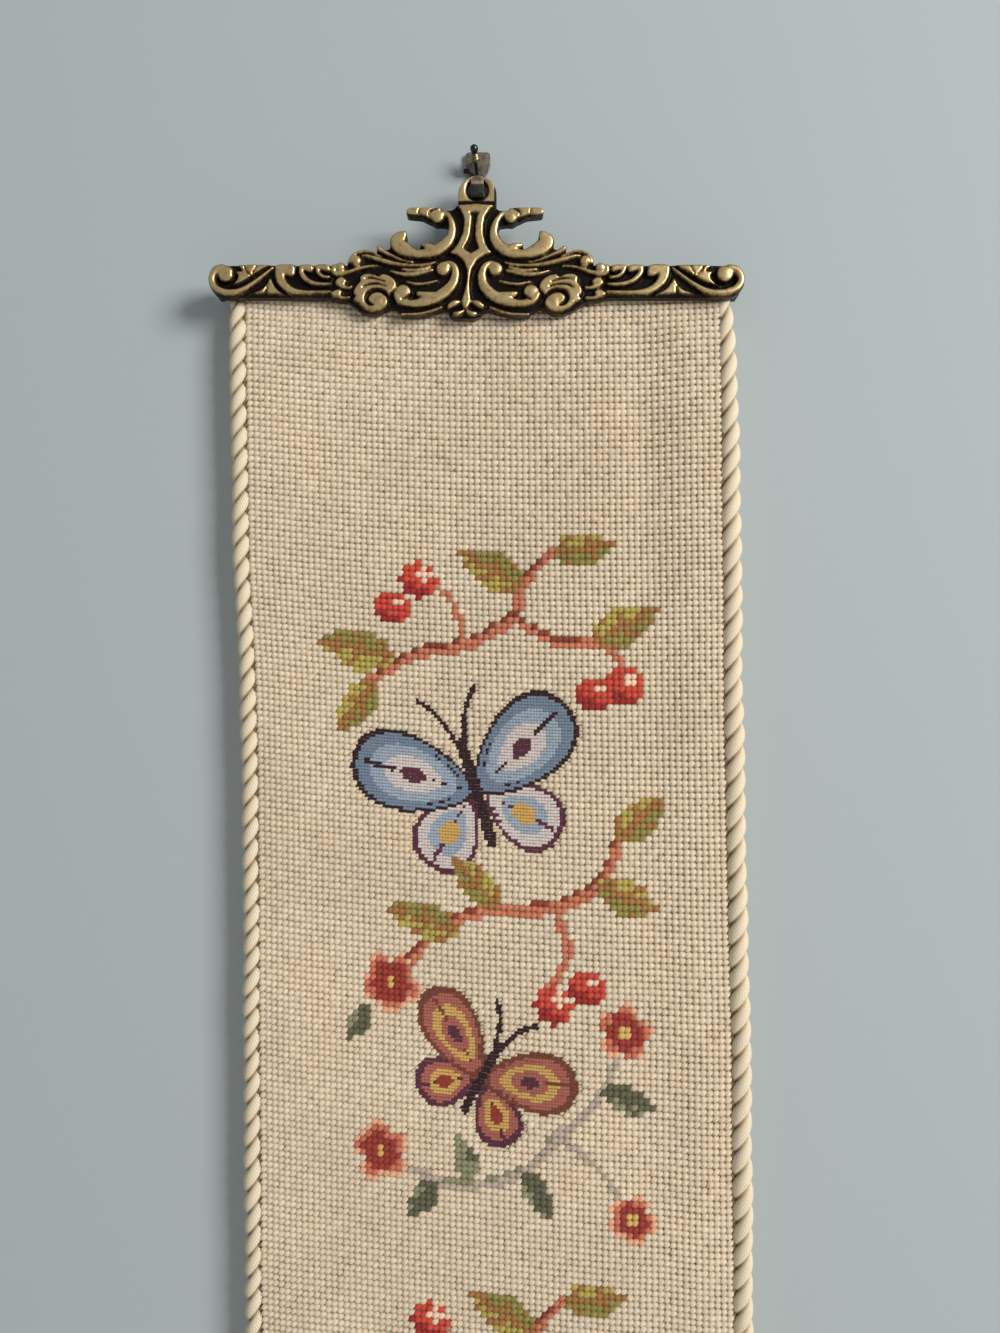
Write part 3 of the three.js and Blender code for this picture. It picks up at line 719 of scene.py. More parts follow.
def feed(links, sockets, values):
    """Gives each socket its value: another socket's, which is linked, or a number or colour."""
    for socket, value in zip(sockets, values):
        if isinstance(value, bpy.types.NodeSocket):
            links.new(value, socket)
        else:
            socket.default_value = value


def noise(nodes, links, vector, scale, detail=3):
    """Cloudy noise. A scale of 1000 has spots about a millimetre across."""
    texture = add_node(nodes, "TexNoise", Scale=scale, Detail=detail)
    links.new(vector, texture.inputs["Vector"])
    return texture.outputs["Fac"]


def maths(nodes, links, operation, first, second=0):
    """Two values added, multiplied and so on, or the sine and the like of the first."""
    node = add_node(nodes, "Math", operation=operation)
    feed(links, node.inputs, (first, second))
    return node.outputs[0]


def mixed(nodes, links, share, first, second, blend_type="MIX"):
    """A share of the second colour mixed into the first."""
    node = add_node(nodes, "Mix", data_type="RGBA", blend_type=blend_type)
    feed(links, (node.inputs["Factor"], *node.inputs[6:8]), (share, first, second))
    return node.outputs[2]


def between(nodes, links, value, low, high, out_low, out_high):
    """Maps a value from one range to another and stops at its ends."""
    ends = {"From Min": low, "From Max": high, "To Min": out_low, "To Max": out_high}
    node = add_node(nodes, "MapRange", **ends)
    links.new(value, node.inputs["Value"])
    return node.outputs["Result"]


def ramp(nodes, links, value, stops):
    """A colour that changes with a value. stops is rows of (value, colour)."""
    node = add_node(nodes, "ValToRGB")
    elements = node.color_ramp.elements
    while len(elements) < len(stops):
        elements.new(0.5)
    for element, (where, colour) in zip(elements, stops):
        element.position = where
        element.color = (*colour, 1)
    links.new(value, node.inputs["Fac"])
    return node.outputs["Color"]


def add_bump(nodes, links, shader, height, distance, strength=1.0):
    """Turns a value into fine relief, distance mm deep."""
    bump = add_node(nodes, "Bump", Distance=distance * MM, Strength=strength)
    links.new(height, bump.inputs["Height"])
    links.new(bump.outputs["Normal"], shader.inputs["Normal"])

# %% Antique brass
# Columns: how far it is rubbed, colour.
BRASS_TONES = [
    (0.14, (0.006, 0.0038, 0.0022)), (0.38, (0.055, 0.035, 0.015)), (0.6, (0.27, 0.183, 0.074)),
    (0.85, (0.56, 0.4, 0.18)), (1, (0.665, 0.495, 0.25)),
]
DULL_PATCH = (0.72, 0.62, 0.45, 1)
# Each of these rows maps one range to another. Columns: from low, from high, to low, to high.
RAGGED_EDGE = (0.25, 0.75, -0.28, 0.28)
PATCHES = (0.42, 0.62, 0, 0.35)
BARE_METAL = (0.2, 0.6, 0.1, 0.95)
SATIN = (0.1, 0.9, 0.36, 0.38)
EDGE_GLOSS = (0.2, 0.6, 0.14, 0.5)
CAST_SKIN = (0, 0.7, 2.6, 0.5)


def antique_brass():
    """Brass that is rubbed where the attribute says so and nearly black elsewhere."""
    material, nodes, links, shader = new_material("antique_brass")
    where = add_node(nodes, "TexCoord").outputs["Object"]
    rubbed = add_node(nodes, "Attribute", attribute_name="rubbed").outputs["Fac"]
    lumps = noise(nodes, links, where, 700, 5)
    worn = maths(nodes, links, "ADD", rubbed, between(nodes, links, lumps, *RAGGED_EDGE))
    patches = between(nodes, links, noise(nodes, links, where, 160, 2), *PATCHES)
    tint = mixed(nodes, links, patches, ramp(nodes, links, worn, BRASS_TONES), DULL_PATCH, "MULTIPLY")
    links.new(tint, shader.inputs["Base Color"])
    links.new(between(nodes, links, worn, *BARE_METAL), shader.inputs["Metallic"])
    links.new(between(nodes, links, worn, *SATIN), shader.inputs["Roughness"])
    links.new(between(nodes, links, worn, *EDGE_GLOSS), shader.inputs["Specular IOR Level"])
    grain = noise(nodes, links, where, 1900, 4)
    skin = maths(nodes, links, "MULTIPLY", lumps, between(nodes, links, rubbed, *CAST_SKIN))
    add_bump(nodes, links, shader, maths(nodes, links, "ADD", grain, skin), distance=0.14, strength=0.4)
    return material


brass = antique_brass()
header.data.materials.append(brass)
print("the brass has", len(brass.node_tree.nodes), "nodes")

# %% [markdown]
# ## Ears and ring
# Two plain ears behind the header's ends carry the rod. Each is a slab like the header's blank, but pushed
# sideways, with the rod's hole drilled through. The ring at the top is cast in one with the header. It is
# modelled apart, as a flat slab with a countersunk hole, and melted by a fine voxel remesh, because the
# cast edges are round all over. Its face is worn bright and the wall of its hole stays dark. Its foot is
# left dark as painted shade where it meets the header, and its right flank keeps a dark strip, partly
# patina and partly painted shade.

# %% Ears
EAR_INNER = 97.4
EAR_OUTER = 98.9
EAR_RADIUS = 4.2
EAR_BEVEL = 0.2
EAR_RUBBED = 0.3  # the ears are half hidden and only a little rubbed
ARM_DEPTH = 1  # how far an ear's arm sinks into the header's back
ROD_HOLE = ROD_RADIUS + CLEARANCE


def soften(piece, width, segments=2, angle=30):
    """Rounds the edges that are sharper than an angle."""
    apply_modifier(piece, "BEVEL", width=width * MM, segments=segments, limit_method="ANGLE",
                   angle_limit=math.radians(angle), harden_normals=False)


def drill(piece, where, turn, radius, mouth, depth, corners):
    """Cuts a round hole of this radius, which is mouth wide at its front end."""
    deselect_all()
    bpy.ops.mesh.primitive_cone_add(vertices=corners, radius1=radius * MM, radius2=mouth * MM,
                                    depth=depth * MM, location=where, rotation=turn)
    cutter = bpy.context.object
    apply_modifier(piece, "BOOLEAN", operation="DIFFERENCE", object=cutter, solver="EXACT")
    bpy.data.objects.remove(cutter)


def ear(side, corners=24):
    """A round lug with a hole for the rod, on an arm that sinks into the header's back."""
    turns = [math.pi * (0.5 + i / corners) for i in range(corners + 1)]
    outline = [(ROD_OFF + EAR_RADIUS * math.cos(turn), EAR_RADIUS * math.sin(turn)) for turn in turns]
    outline += [(HEADER_BACK + ARM_DEPTH, -EAR_RADIUS), (HEADER_BACK + ARM_DEPTH, EAR_RADIUS)]
    lug = slab([place(side * EAR_INNER, off, BAR_Z + height) for off, height in outline],
               (side * (EAR_OUTER - EAR_INNER) * MM, 0, 0))
    drill(lug, place(side * EAR_INNER, ROD_OFF, BAR_Z), (0, math.radians(90), 0),
          radius=ROD_HOLE, mouth=ROD_HOLE, depth=4 * EAR_RADIUS, corners=32)
    soften(lug, EAR_BEVEL)
    lug = finish_piece(lug, "ear")
    bpy.ops.object.shade_smooth_by_angle(angle=math.radians(40))
    set_attribute(lug, "rubbed", np.full(len(lug.data.vertices), EAR_RUBBED))
    lug.data.materials.append(brass)
    return lug


header = join_pieces([header, ear(1), ear(-1)])
print("with its ears the header has", triangles(header), "triangles")

# %% Ring
# Heights are above the bar's middle.
RING_HALF = 7.3
RING_FOOT = 20
RING_FOOT_HALF = 4.5
RING_SHOULDER = 27
RING_ARCH = 34.5
RING_HOLE_H = 36.3
RING_HOLE = 3.9
SINK_EXTRA = 1.1  # how much wider than the hole its countersink is
SINK_DEPTH = 1.2
SINK_OFF = 0.45  # how far behind the ring's face the countersink's middle is
RING_VOXEL = 0.32
ring_back, ring_front = node_box("hanging_eye")[0].y, node_box("hanging_eye")[1].y


def ring_outline(corners=26):
    """The ring's foot, straight sides and round arch."""
    arch = [math.pi * i / corners for i in range(corners + 1)]
    top = [(RING_HALF * math.cos(a), BAR_Z + RING_ARCH + RING_HALF * math.sin(a)) for a in arch]
    foot = [(-RING_HALF, BAR_Z + RING_SHOULDER), (-RING_FOOT_HALF, BAR_Z + RING_FOOT)]
    return top + foot + [(-x, z) for x, z in reversed(foot)]


ring = raised_plate(ring_outline(), ring_back, ring_front)
facing_front = (math.radians(90), 0, 0)
drill(ring, place(0, ring_front - SINK_OFF, BAR_Z + RING_HOLE_H), facing_front,
      radius=RING_HOLE, mouth=RING_HOLE + SINK_EXTRA, depth=SINK_DEPTH, corners=40)
drill(ring, place(0, ring_front, BAR_Z + RING_HOLE_H), facing_front,
      radius=RING_HOLE, mouth=RING_HOLE, depth=10, corners=40)
apply_modifier(ring, "REMESH", mode="VOXEL", voxel_size=RING_VOXEL * MM)
apply_modifier(ring, "SMOOTH", factor=0.5, iterations=4)
ring = finish_piece(ring, "hanging_ring")
bpy.ops.object.shade_smooth()
print("the ring has", triangles(ring), "triangles")

# %% The ring's wear and its painted shade
# Columns of each: where the wear begins, where it is full.
RING_FACE = (0.3, 0.6)  # how squarely a point faces the front
WORN_FROM_HOLE = (4.1, 4.6)  # mm from the hole's middle
# Below this height the ring's foot stays unrubbed and nearly black: painted shade where it meets the header.
SHADED_FOOT_FROM_BAR = (31.7, 32.2)  # mm above the bar's middle
# Along the right flank a dark strip stays: partly patina, partly painted shade.
PATINA_AND_SHADE_RIGHT = (0.5, 1.1)  # mm from the right flank, which stays dark

points = read_points(ring)
from_hole = np.hypot(points[:, 0], points[:, 2] - BAR_Z - RING_HOLE_H)
wear_and_painted_shade = rise(read_facing(ring), *RING_FACE) * rise(from_hole, *WORN_FROM_HOLE)
wear_and_painted_shade *= rise(points[:, 2] - BAR_Z, *SHADED_FOOT_FROM_BAR) * rise(RING_HALF - points[:, 0], *PATINA_AND_SHADE_RIGHT)
# The ring's rubbed attribute holds its wear, and where it stays low also this painted shade.
set_attribute(ring, "rubbed", wear_and_painted_shade)
ring.data.materials.append(brass)
print(round(100 * float((wear_and_painted_shade > 0.5).mean())), "% of the ring's points are rubbed")

# %% [markdown]
# ## Hook and nail
# The picture hook is bent strip: the frame already has its shape, so a copy of that is merged and its edges
# are softened. Two small bars are joined to it: the end of the strip behind the ring's hole, and a prong
# that was cut out of the strip and bent up. Both are coloured nearly black as painted shade, the first for
# the shade inside the ring's hole and the second for a dark tab with its shadow. The nail is turned: a
# circle is extruded along the nail's line and scaled at each step of the profile.
#
# The hook is cheap plated strip, dull grey-brown with rubbed edges. The nail is dark polished steel with a
# small brass collar. The rod, in the sleeve of the cloth, is dark steel. One recipe makes all of them: a
# cloudy pattern wanders between two tones and turns the gloss up and down, with a fine grain as bump.

# %% Dull metals
WORN_RAGGED = (0.3, 0.6, 0.55, 1)
DULLER, GLOSSIER = 0.12, 0.06  # how far the roughness wanders up and down


def dull_metal(name, dark, light, metallic, roughness, spots, worn_tone=None):
    """A metal whose colour and gloss wander between two tones, and a third on its worn edges."""
    material, nodes, links, shader = new_material(name)
    where = add_node(nodes, "TexCoord").outputs["Object"]
    cloud = noise(nodes, links, where, spots, 4)
    colour = ramp(nodes, links, cloud, [(0.35, dark), (0.65, light)])
    if worn_tone:
        edge = add_node(nodes, "Attribute", attribute_name="rubbed").outputs["Fac"]
        ragged = maths(nodes, links, "MULTIPLY", edge, between(nodes, links, cloud, *WORN_RAGGED))
        colour = mixed(nodes, links, ragged, colour, (*worn_tone, 1))
    links.new(colour, shader.inputs["Base Color"])
    links.new(between(nodes, links, cloud, 0.3, 0.7, roughness + DULLER, roughness - GLOSSIER),
              shader.inputs["Roughness"])
    shader.inputs["Metallic"].default_value = metallic
    add_bump(nodes, links, shader, noise(nodes, links, where, 3 * spots), distance=0.06, strength=0.4)
    return material


hook_metal = dull_metal("aged_strip", dark=(0.055, 0.047, 0.036), light=(0.17, 0.145, 0.11), metallic=0.4,
                        roughness=0.42, spots=500, worn_tone=(0.55, 0.45, 0.32))
# Painted shade: a nearly black metal for the two bars that stand in for shade behind and beside the ring.
painted_shade_metal = dull_metal("painted_shade_strip", dark=(0.006, 0.005, 0.004), light=(0.03, 0.024, 0.018), metallic=0.6,
                          roughness=0.5, spots=500)
nail_metal = dull_metal("dark_steel", dark=(0.03, 0.032, 0.035), light=(0.09, 0.095, 0.1), metallic=1,
                        roughness=0.24, spots=900)
collar_metal = dull_metal("collar_brass", dark=(0.15, 0.115, 0.06), light=(0.4, 0.32, 0.18), metallic=1,
                          roughness=0.28, spots=900)
rod_metal = dull_metal("rod_steel", dark=(0.03, 0.028, 0.026), light=(0.08, 0.076, 0.07), metallic=1,
                       roughness=0.45, spots=400)
print("the hook's metal has", len(hook_metal.node_tree.nodes), "nodes")


# %% Picture hook
HOOK_BEVEL = 0.35
PART_BEVEL = 0.2
# Both bars are coloured nearly black, as painted shade. Columns: x, off and z ranges of the strip's lower
# end behind the ring, and of its prong on the left.
HOOK_PARTS = [((-4.2, 4.6), (0.3, 1.5), (-15, -8)), ((-5.6, -3.4), (1.2, 2.8), (-3.5, -2.1))]
ROUNDED_EDGE = (0.9, 0.99)  # how squarely a point faces any side, on an edge and on a flat


def softened_copy(node_name, name, width):
    """A copy of a frame node with its corners merged and its edges rounded."""
    deselect_all()
    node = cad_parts[node_name]
    piece = bpy.data.objects.new(name, node.data.copy())
    scene.collection.objects.link(piece)
    piece.data.materials.clear()
    piece.select_set(True)
    bpy.context.view_layer.objects.active = piece
    bpy.ops.object.mode_set(mode="EDIT")
    bpy.ops.mesh.select_all(action="SELECT")
    bpy.ops.mesh.remove_doubles(threshold=1e-6)
    bpy.ops.mesh.dissolve_limited(angle_limit=math.radians(1))
    bpy.ops.object.mode_set(mode="OBJECT")
    soften(piece, width, segments=3, angle=25)
    piece = finish_piece(piece, name)
    bpy.ops.object.shade_smooth_by_angle(angle=math.radians(40))
    return piece


hook = softened_copy("picture_hook", "picture_hook_strip", HOOK_BEVEL)
bright_faces = len(hook.data.polygons)
for (x0, x1), (off0, off1), (z0, z1) in HOOK_PARTS:
    deselect_all()
    bpy.ops.mesh.primitive_cube_add(size=MM, location=place((x0 + x1) / 2, (off0 + off1) / 2, (z0 + z1) / 2),
                                    scale=(x1 - x0, off1 - off0, z1 - z0))
    part = bpy.context.object
    soften(part, PART_BEVEL)
    hook = join_pieces([hook, part])
set_attribute(hook, "rubbed", 1 - rise(np.abs(read_normals(hook)).max(axis=1), *ROUNDED_EDGE))
hook.data.materials.append(hook_metal)
hook.data.materials.append(painted_shade_metal)
# The joined bars, after the strip's own faces, take the painted shade metal.
for face in hook.data.polygons:
    face.material_index = int(face.index >= bright_faces)
print("the hook has", triangles(hook), "triangles")

# %% Nail
NAIL_FOOT = place(0, 0, -6.5)
NAIL_HEAD = place(-1.3, 9, 2.5)
NAIL_LONG = (NAIL_HEAD - NAIL_FOOT).length / MM
# Columns: radius, distance along the nail.
NAIL_PROFILE = [
    (0.5, -3), (0.75, -2.6), (0.75, NAIL_LONG - 4.9), (2.3, NAIL_LONG - 4.5), (2.7, NAIL_LONG - 4.25),
    (2.7, NAIL_LONG - 3.85), (1.95, NAIL_LONG - 3.6), (1.7, NAIL_LONG - 3.3), (1.65, NAIL_LONG - 2.2),
    (1.2, NAIL_LONG - 1.8), (1.15, NAIL_LONG - 1.3), (1.42, NAIL_LONG - 0.7), (1.55, NAIL_LONG - 0.1),
    (1.5, NAIL_LONG + 0.4), (1.25, NAIL_LONG + 0.95), (0.8, NAIL_LONG + 1.3), (0.25, NAIL_LONG + 1.5),
]
COLLAR_RINGS = (2, 9)  # the rows of the profile between which the collar is
NAIL_CORNERS = 28

way = (NAIL_HEAD - NAIL_FOOT).normalized()
deselect_all()
bpy.ops.mesh.primitive_circle_add(vertices=NAIL_CORNERS, radius=NAIL_PROFILE[0][0] * MM, fill_type="NGON",
                                  location=NAIL_FOOT + way * NAIL_PROFILE[0][1] * MM,
                                  rotation=way.to_track_quat("Z", "Y").to_euler())
nail = bpy.context.object
bpy.ops.object.mode_set(mode="EDIT")
bpy.ops.mesh.select_all(action="SELECT")
for (radius, along), (next_radius, next_along) in zip(NAIL_PROFILE, NAIL_PROFILE[1:]):
    bpy.ops.mesh.extrude_region_move(TRANSFORM_OT_translate={"value": way * (next_along - along) * MM})
    bpy.ops.transform.resize(value=(next_radius / radius,) * 3,
                             center_override=NAIL_FOOT + way * next_along * MM)
bpy.ops.mesh.select_all(action="SELECT")
bpy.ops.mesh.normals_make_consistent(inside=False)
bpy.ops.object.mode_set(mode="OBJECT")
nail = finish_piece(nail, "nail_turned")
bpy.ops.object.shade_smooth_by_angle(angle=math.radians(50))
nail.data.materials.append(nail_metal)
nail.data.materials.append(collar_metal)
collar_start, collar_end = (NAIL_PROFILE[row][1] for row in COLLAR_RINGS)
for face in nail.data.polygons:
    along = (face.center - NAIL_FOOT).dot(way) / MM
    face.material_index = int(collar_start < along < collar_end)
nail_length = NAIL_PROFILE[-1][1] - NAIL_PROFILE[0][1]
print("the nail is", round(nail_length, 1), "mm long and has", triangles(nail), "triangles")

# %% [markdown]
# ## How the cloth hangs
# The band is a sheet of canvas. It runs from the hem up the front, over the rod and down behind itself as a
# short flap. Everything on it, from the stitches to the colours of its back, needs one thing: where on the
# wall is the spot u mm to the right of the band's middle and s mm down from the rod? One function answers
# that, so that the canvas, the stitches and the folds can't drift apart. The folds are listed one by one:
# soft troughs and ridges, each with its own height, width and stretch.

# %% The cloth's line from the side
CLOTH_WIDTH = 180
CLOTH_BOTTOM = -1066
FRONT_MIDDLE = 10.6
WRAP_RADIUS = FRONT_MIDDLE - ROD_OFF
WRAP_TURN = 1.12 * math.pi
WRAP_STEPS = 17
FRONT_STEP = 4
FRONT_START = 0.5  # the straight front starts this far below the bar's middle
# Columns: distance off the wall, distance below the bar's middle.
FLAP = [(4.2, 5.4), (6.2, 9), (7.8, 12.4), (8.2, 16), (8.2, 25)]


def cloth_line():
    """The middle of the cloth from the flap's end over the rod to the hem: rows of s, off, z and normal."""
    front = [(FRONT_MIDDLE, z) for z in np.arange(CLOTH_BOTTOM, BAR_Z - FRONT_START, FRONT_STEP)]
    turns = np.linspace(0, WRAP_TURN, WRAP_STEPS)
    wrap = [(ROD_OFF + WRAP_RADIUS * math.cos(a), BAR_Z + WRAP_RADIUS * math.sin(a)) for a in turns]
    flap = smooth_line([(off, BAR_Z - below, 0) for off, below in FLAP], 3)[:, :2]
    line = np.array([*flap[::-1], *wrap[::-1], *front[::-1]])
    steps = np.linalg.norm(np.diff(line, axis=0), axis=1)
    s = np.concatenate([[0], np.cumsum(steps)])
    ways = np.gradient(line, axis=0)
    ways /= np.linalg.norm(ways, axis=1)[:, None]
    s -= s[len(flap) + len(wrap) - 1]
    return np.column_stack([s, line, -ways[:, 1], ways[:, 0]])


CLOTH_LINE = cloth_line()
FLAP_END, HEM = CLOTH_LINE[0, 0], CLOTH_LINE[-1, 0]
print("the cloth is", round(HEM - FLAP_END, 1), "mm long along its line, from s", round(FLAP_END, 1),
      "to", round(HEM, 1))

# %% Folds, edges and slope of the rows
# Columns: across, width, depth, from z, to z, fade, least share that stays.
FOLDS = [
    (61, 9, -1.3, -66, -98, 60, 0.45), (79, 9, 0.9, -70, -150, 200, 0.6),
    (-80, 14, 0.7, -80, -600, 300, 0.5), (-8, 40, -0.8, -160, -420, 200, 0.2),
    (26, 34, 1, -640, -900, 180, 0),
]
FOLD_START, FOLD_FREE = 8, 18  # mm below the rod where the folds begin, and where they are free
# Columns: height, length, phase.
EDGE_WAVES = [(0.25, 31, 0), (0.2, 13.7, 1), (0.1, 67, 2)]
# The band hangs a little askew and its width varies. Columns: z, x of its middle line, half of its width.
BAND_LINE = [
    (-1066, 17.6, 90), (-800, 13.6, 90.2), (-600, 10.2, 90), (-432, 7.5, 89.7), (-340, 6.8, 89.4),
    (-294, 6.1, 89.2), (-248, 5.5, 88.8), (-202, 4.65, 89), (-156, 3.25, 89.8), (-110, 2.7, 90.1),
    (-67, 2.05, 90.1), (-40, 1.8, 90.1),
]
# How much the rows of stitches slope and bow. Columns: z, slope, bow.
ROW_SLOPES = [
    (-1066, -0.02, 0.01), (-900, -0.04, 0.02), (-420, -0.11, 0.045), (-70, -0.015, 0.085), (-40, 0, 0.02),
]


def band_centre(z):
    """The x of the band's middle line."""
    heights, middles, _ = np.array(BAND_LINE).T
    return np.interp(z, heights, middles)


def waves(z, rows):
    """A sum of sine waves along a height. Columns of its rows: height, length, phase."""
    return sum(height * np.sin(z / length + phase) for height, length, phase in rows)


def band_half(z):
    """Half of the band's width."""
    heights, _, halves = np.array(BAND_LINE).T
    return np.interp(z, heights, halves) + waves(z, EDGE_WAVES) / 2


def fold_depth(across, z):
    """How far the folds push the cloth towards the front."""
    depth = 0
    for middle, width, high, top, bottom, fade, least in FOLDS:
        outside = np.maximum(np.maximum(z - top, bottom - z), 0)
        strength = least + (1 - least) * np.exp(-(outside / fade) ** 2)
        depth = depth + high * strength * np.exp(-((across - middle) / width) ** 2)
    return rise(BAR_Z - z, FOLD_START, FOLD_FREE) * depth


def cloth_point(u, s, lift):
    """Rows of x, off, z for spots u across and s along the cloth, lifted off its middle."""
    off, z, n_off, n_z = (np.interp(s, CLOTH_LINE[:, 0], column) for column in CLOTH_LINE.T[1:])
    share = u / CLOTH_WIDTH
    across = 2 * share * (CLOTH_WIDTH / 2 + (band_half(z) - CLOTH_WIDTH / 2) * 2 * np.abs(share))
    x = band_centre(z) + across
    return np.stack([x, off + lift * n_off + fold_depth(across, z), z + lift * n_z], axis=-1)


def row_rise(u, s):
    """How much higher than the band's middle a row of stitches is at u."""
    zs, slopes, bows = np.array(ROW_SLOPES).T
    z = BAR_Z - s
    return np.interp(z, zs, slopes) * u + np.interp(z, zs, bows) * u * u / CLOTH_WIDTH


print(len(FOLDS), "folds; the band is", round(2 * float(band_half(CLOTH_BOTTOM)), 1), "mm wide at its hem")

# %% [markdown]
# ## The chart
# Needlepoint is worked from a chart: one square for each stitch. The band has 78 stitches across, and a
# sprigged design of 120 rows that comes three times. The design is drawn by a few brushes that work on the
# squares' places: a stem is a smooth line, a leaf a pointed oval with veins, a berry a ball with a light
# spot, a blossom five petals, and a butterfly four wings with bands. Wings are worked in petit point, with
# four small stitches in each square, and the same brushes draw those too.

# %% Wool colours
def tone(red, green, blue):
    """A colour given as 0 to 255 for a screen, as the shader's linear numbers."""
    share = np.array([red, green, blue]) / 255
    # These are the usual numbers that turn a screen's colours into amounts of light.
    return np.where(share <= 0.04045, share / 12.92, ((share + 0.055) / 1.055) ** 2.4)


CREAM = tone(221, 204, 179)
OLIVE, MOSS, RUST = tone(180, 162, 84), tone(146, 136, 72), tone(162, 116, 66)
BERRY, WINE, BLUSH = tone(204, 74, 58), tone(158, 44, 42), tone(244, 205, 178)
SALMON, BRICK = tone(200, 122, 94), tone(138, 66, 50)
STEEL_BLUE, PALE_BLUE, LAVENDER = tone(118, 138, 164), tone(160, 176, 196), tone(216, 206, 206)
PLUM, DARK_PLUM = tone(92, 44, 66), tone(48, 26, 36)
ROSE, GOLD, BROWN = tone(176, 102, 92), tone(212, 172, 98), tone(122, 66, 52)
CORAL, DEEP_RED, PALE_SALMON = tone(200, 112, 88), tone(154, 58, 48), tone(228, 170, 138)
GREY_GREEN, SAGE, TAUPE = tone(98, 98, 76), tone(140, 140, 110), tone(182, 168, 152)

TWIG, BARK = (SALMON, BRICK), (TAUPE, SAGE)
GREEN_LEAF, MOSS_LEAF = (OLIVE, MOSS, RUST), (MOSS, OLIVE, RUST)
GREY_LEAF, SAGE_LEAF = (GREY_GREEN, SAGE, GREY_GREEN), (SAGE, GREY_GREEN, SAGE)

# %% Brushes for stems, leaves and berries
# Sizes are in squares of the chart. Colours are listed in the order in which a brush uses them.
STEM_SHADE = 0.7  # how far up a stem its dark lower edge reaches
THIN_STEM = 0.8  # half of the width up to which a stem has no dark edge
VEIN_STEP = 4.2
VEIN_WIDE = 1.1
VEIN_SLANT = 0.9
MIDRIB_HALF = 0.55


def stem(x, y, wool, path, tones):
    """A smooth line. Columns of its path: x, y, width. Its lower edge is the darker."""
    spots = np.column_stack([x, np.zeros(len(x)), y])
    gap, half = line_gap(spots, smooth_line(path))
    wool[gap < half] = tones[0]
    lower = line_gap(spots - [0, 0, STEM_SHADE], smooth_line(path))[0] > half
    wool[(gap < half) & lower & (half > THIN_STEM)] = tones[1]


def leaf(x, y, wool, base, tip, width, tones):
    """A pointed oval from its base to its tip: light on one side, darker on the other, with side veins."""
    way = np.subtract(tip, base)
    long = np.linalg.norm(way)
    along = ((x - base[0]) * way[0] + (y - base[1]) * way[1]) / long
    beside = ((x - base[0]) * -way[1] + (y - base[1]) * way[0]) / long
    share = np.clip(along / long, 0, 1)
    edge = width / 2 * np.sin(math.pi * share ** 0.8) ** 0.85
    inside = (np.abs(beside) < edge) & (along > 0) & (along < long)
    wool[inside & (beside < 0)] = tones[0]
    wool[inside & (beside >= 0)] = tones[1]
    wool[inside & ((along - VEIN_SLANT * np.abs(beside)) % VEIN_STEP < VEIN_WIDE)] = tones[2]
    wool[inside & (np.abs(beside) < MIDRIB_HALF)] = tones[2]


def berry(x, y, wool, middle, radius):
    """A round red fruit with a dark foot and a light spot."""
    right, down = (x - middle[0]) / radius, (y - middle[1]) / radius
    inside = np.hypot(right, down) < 1
    wool[inside] = BERRY
    wool[inside & (0.8 * down - 0.4 * right > 0.35)] = WINE
    wool[np.hypot(right - 0.3, down + 0.35) < 0.36] = BLUSH

# %% Brushes for blossoms and wings
# Columns: share of a petal's reach, colour.
PETAL_BANDS = [(1, PALE_SALMON), (0.84, CORAL), (0.62, DEEP_RED)]
PETAL_LEAST = 0.62  # how far out the blossom reaches between two petals
PETAL_GAP = 0.22
EYE = 0.2
WING_PINCH = 0.35  # how much wider a wing is at its tip than at its root
WING_VEINS = 4
VEIN_REACH = (0.3, 0.8)
VEIN_HALF = 0.16


def blossom(x, y, wool, middle, radius, turn):
    """Five petals, pale at their edge and deep red towards a gold eye."""
    gap = np.hypot(x - middle[0], y - middle[1]) / radius
    angle = np.arctan2(y - middle[1], x - middle[0]) - turn
    petal = np.abs(np.cos(5 / 2 * angle))
    reach = PETAL_LEAST + (1 - PETAL_LEAST) * petal ** 0.6
    for share, colour in PETAL_BANDS:
        wool[gap < share * reach] = colour
    wool[(gap < reach) & (petal < PETAL_GAP)] = DEEP_RED
    wool[gap < EYE] = GOLD


def wing(x, y, wool, middle, size, turn, bands):
    """An oval wing with bands from its edge inwards. Columns of bands: how far out, colour."""
    c, s = math.cos(turn), math.sin(turn)
    along = ((x - middle[0]) * c + (y - middle[1]) * s) / size[0]
    beside = ((y - middle[1]) * c - (x - middle[0]) * s) / size[1]
    gap = np.hypot(along, beside / (1 + WING_PINCH * along))
    for reach, colour in bands:
        wool[gap < reach] = colour
    vein = np.abs(np.sin(WING_VEINS * np.arctan2(beside, along + 1))) < VEIN_HALF
    wool[vein & (gap > VEIN_REACH[0]) & (gap < VEIN_REACH[1])] = bands[0][1]
    return gap < 1

# %% A brush for butterflies
# Columns: place beside and below the body's middle, length, width, turn, all for a butterfly of size 1.
LOWER_WING = (0.34, 0.34, 0.36, 0.27, 0.75)
UPPER_WING = (0.5, -0.2, 0.56, 0.33, -0.5)
BODY_LINE = [(0, -0.36), (0, 0.5)]
BODY_WIDE = 0.1
FEELER = [(0.02, -0.3), (0.12, -0.62), (0.26, -0.8)]
FEELER_WIDE = 0.8


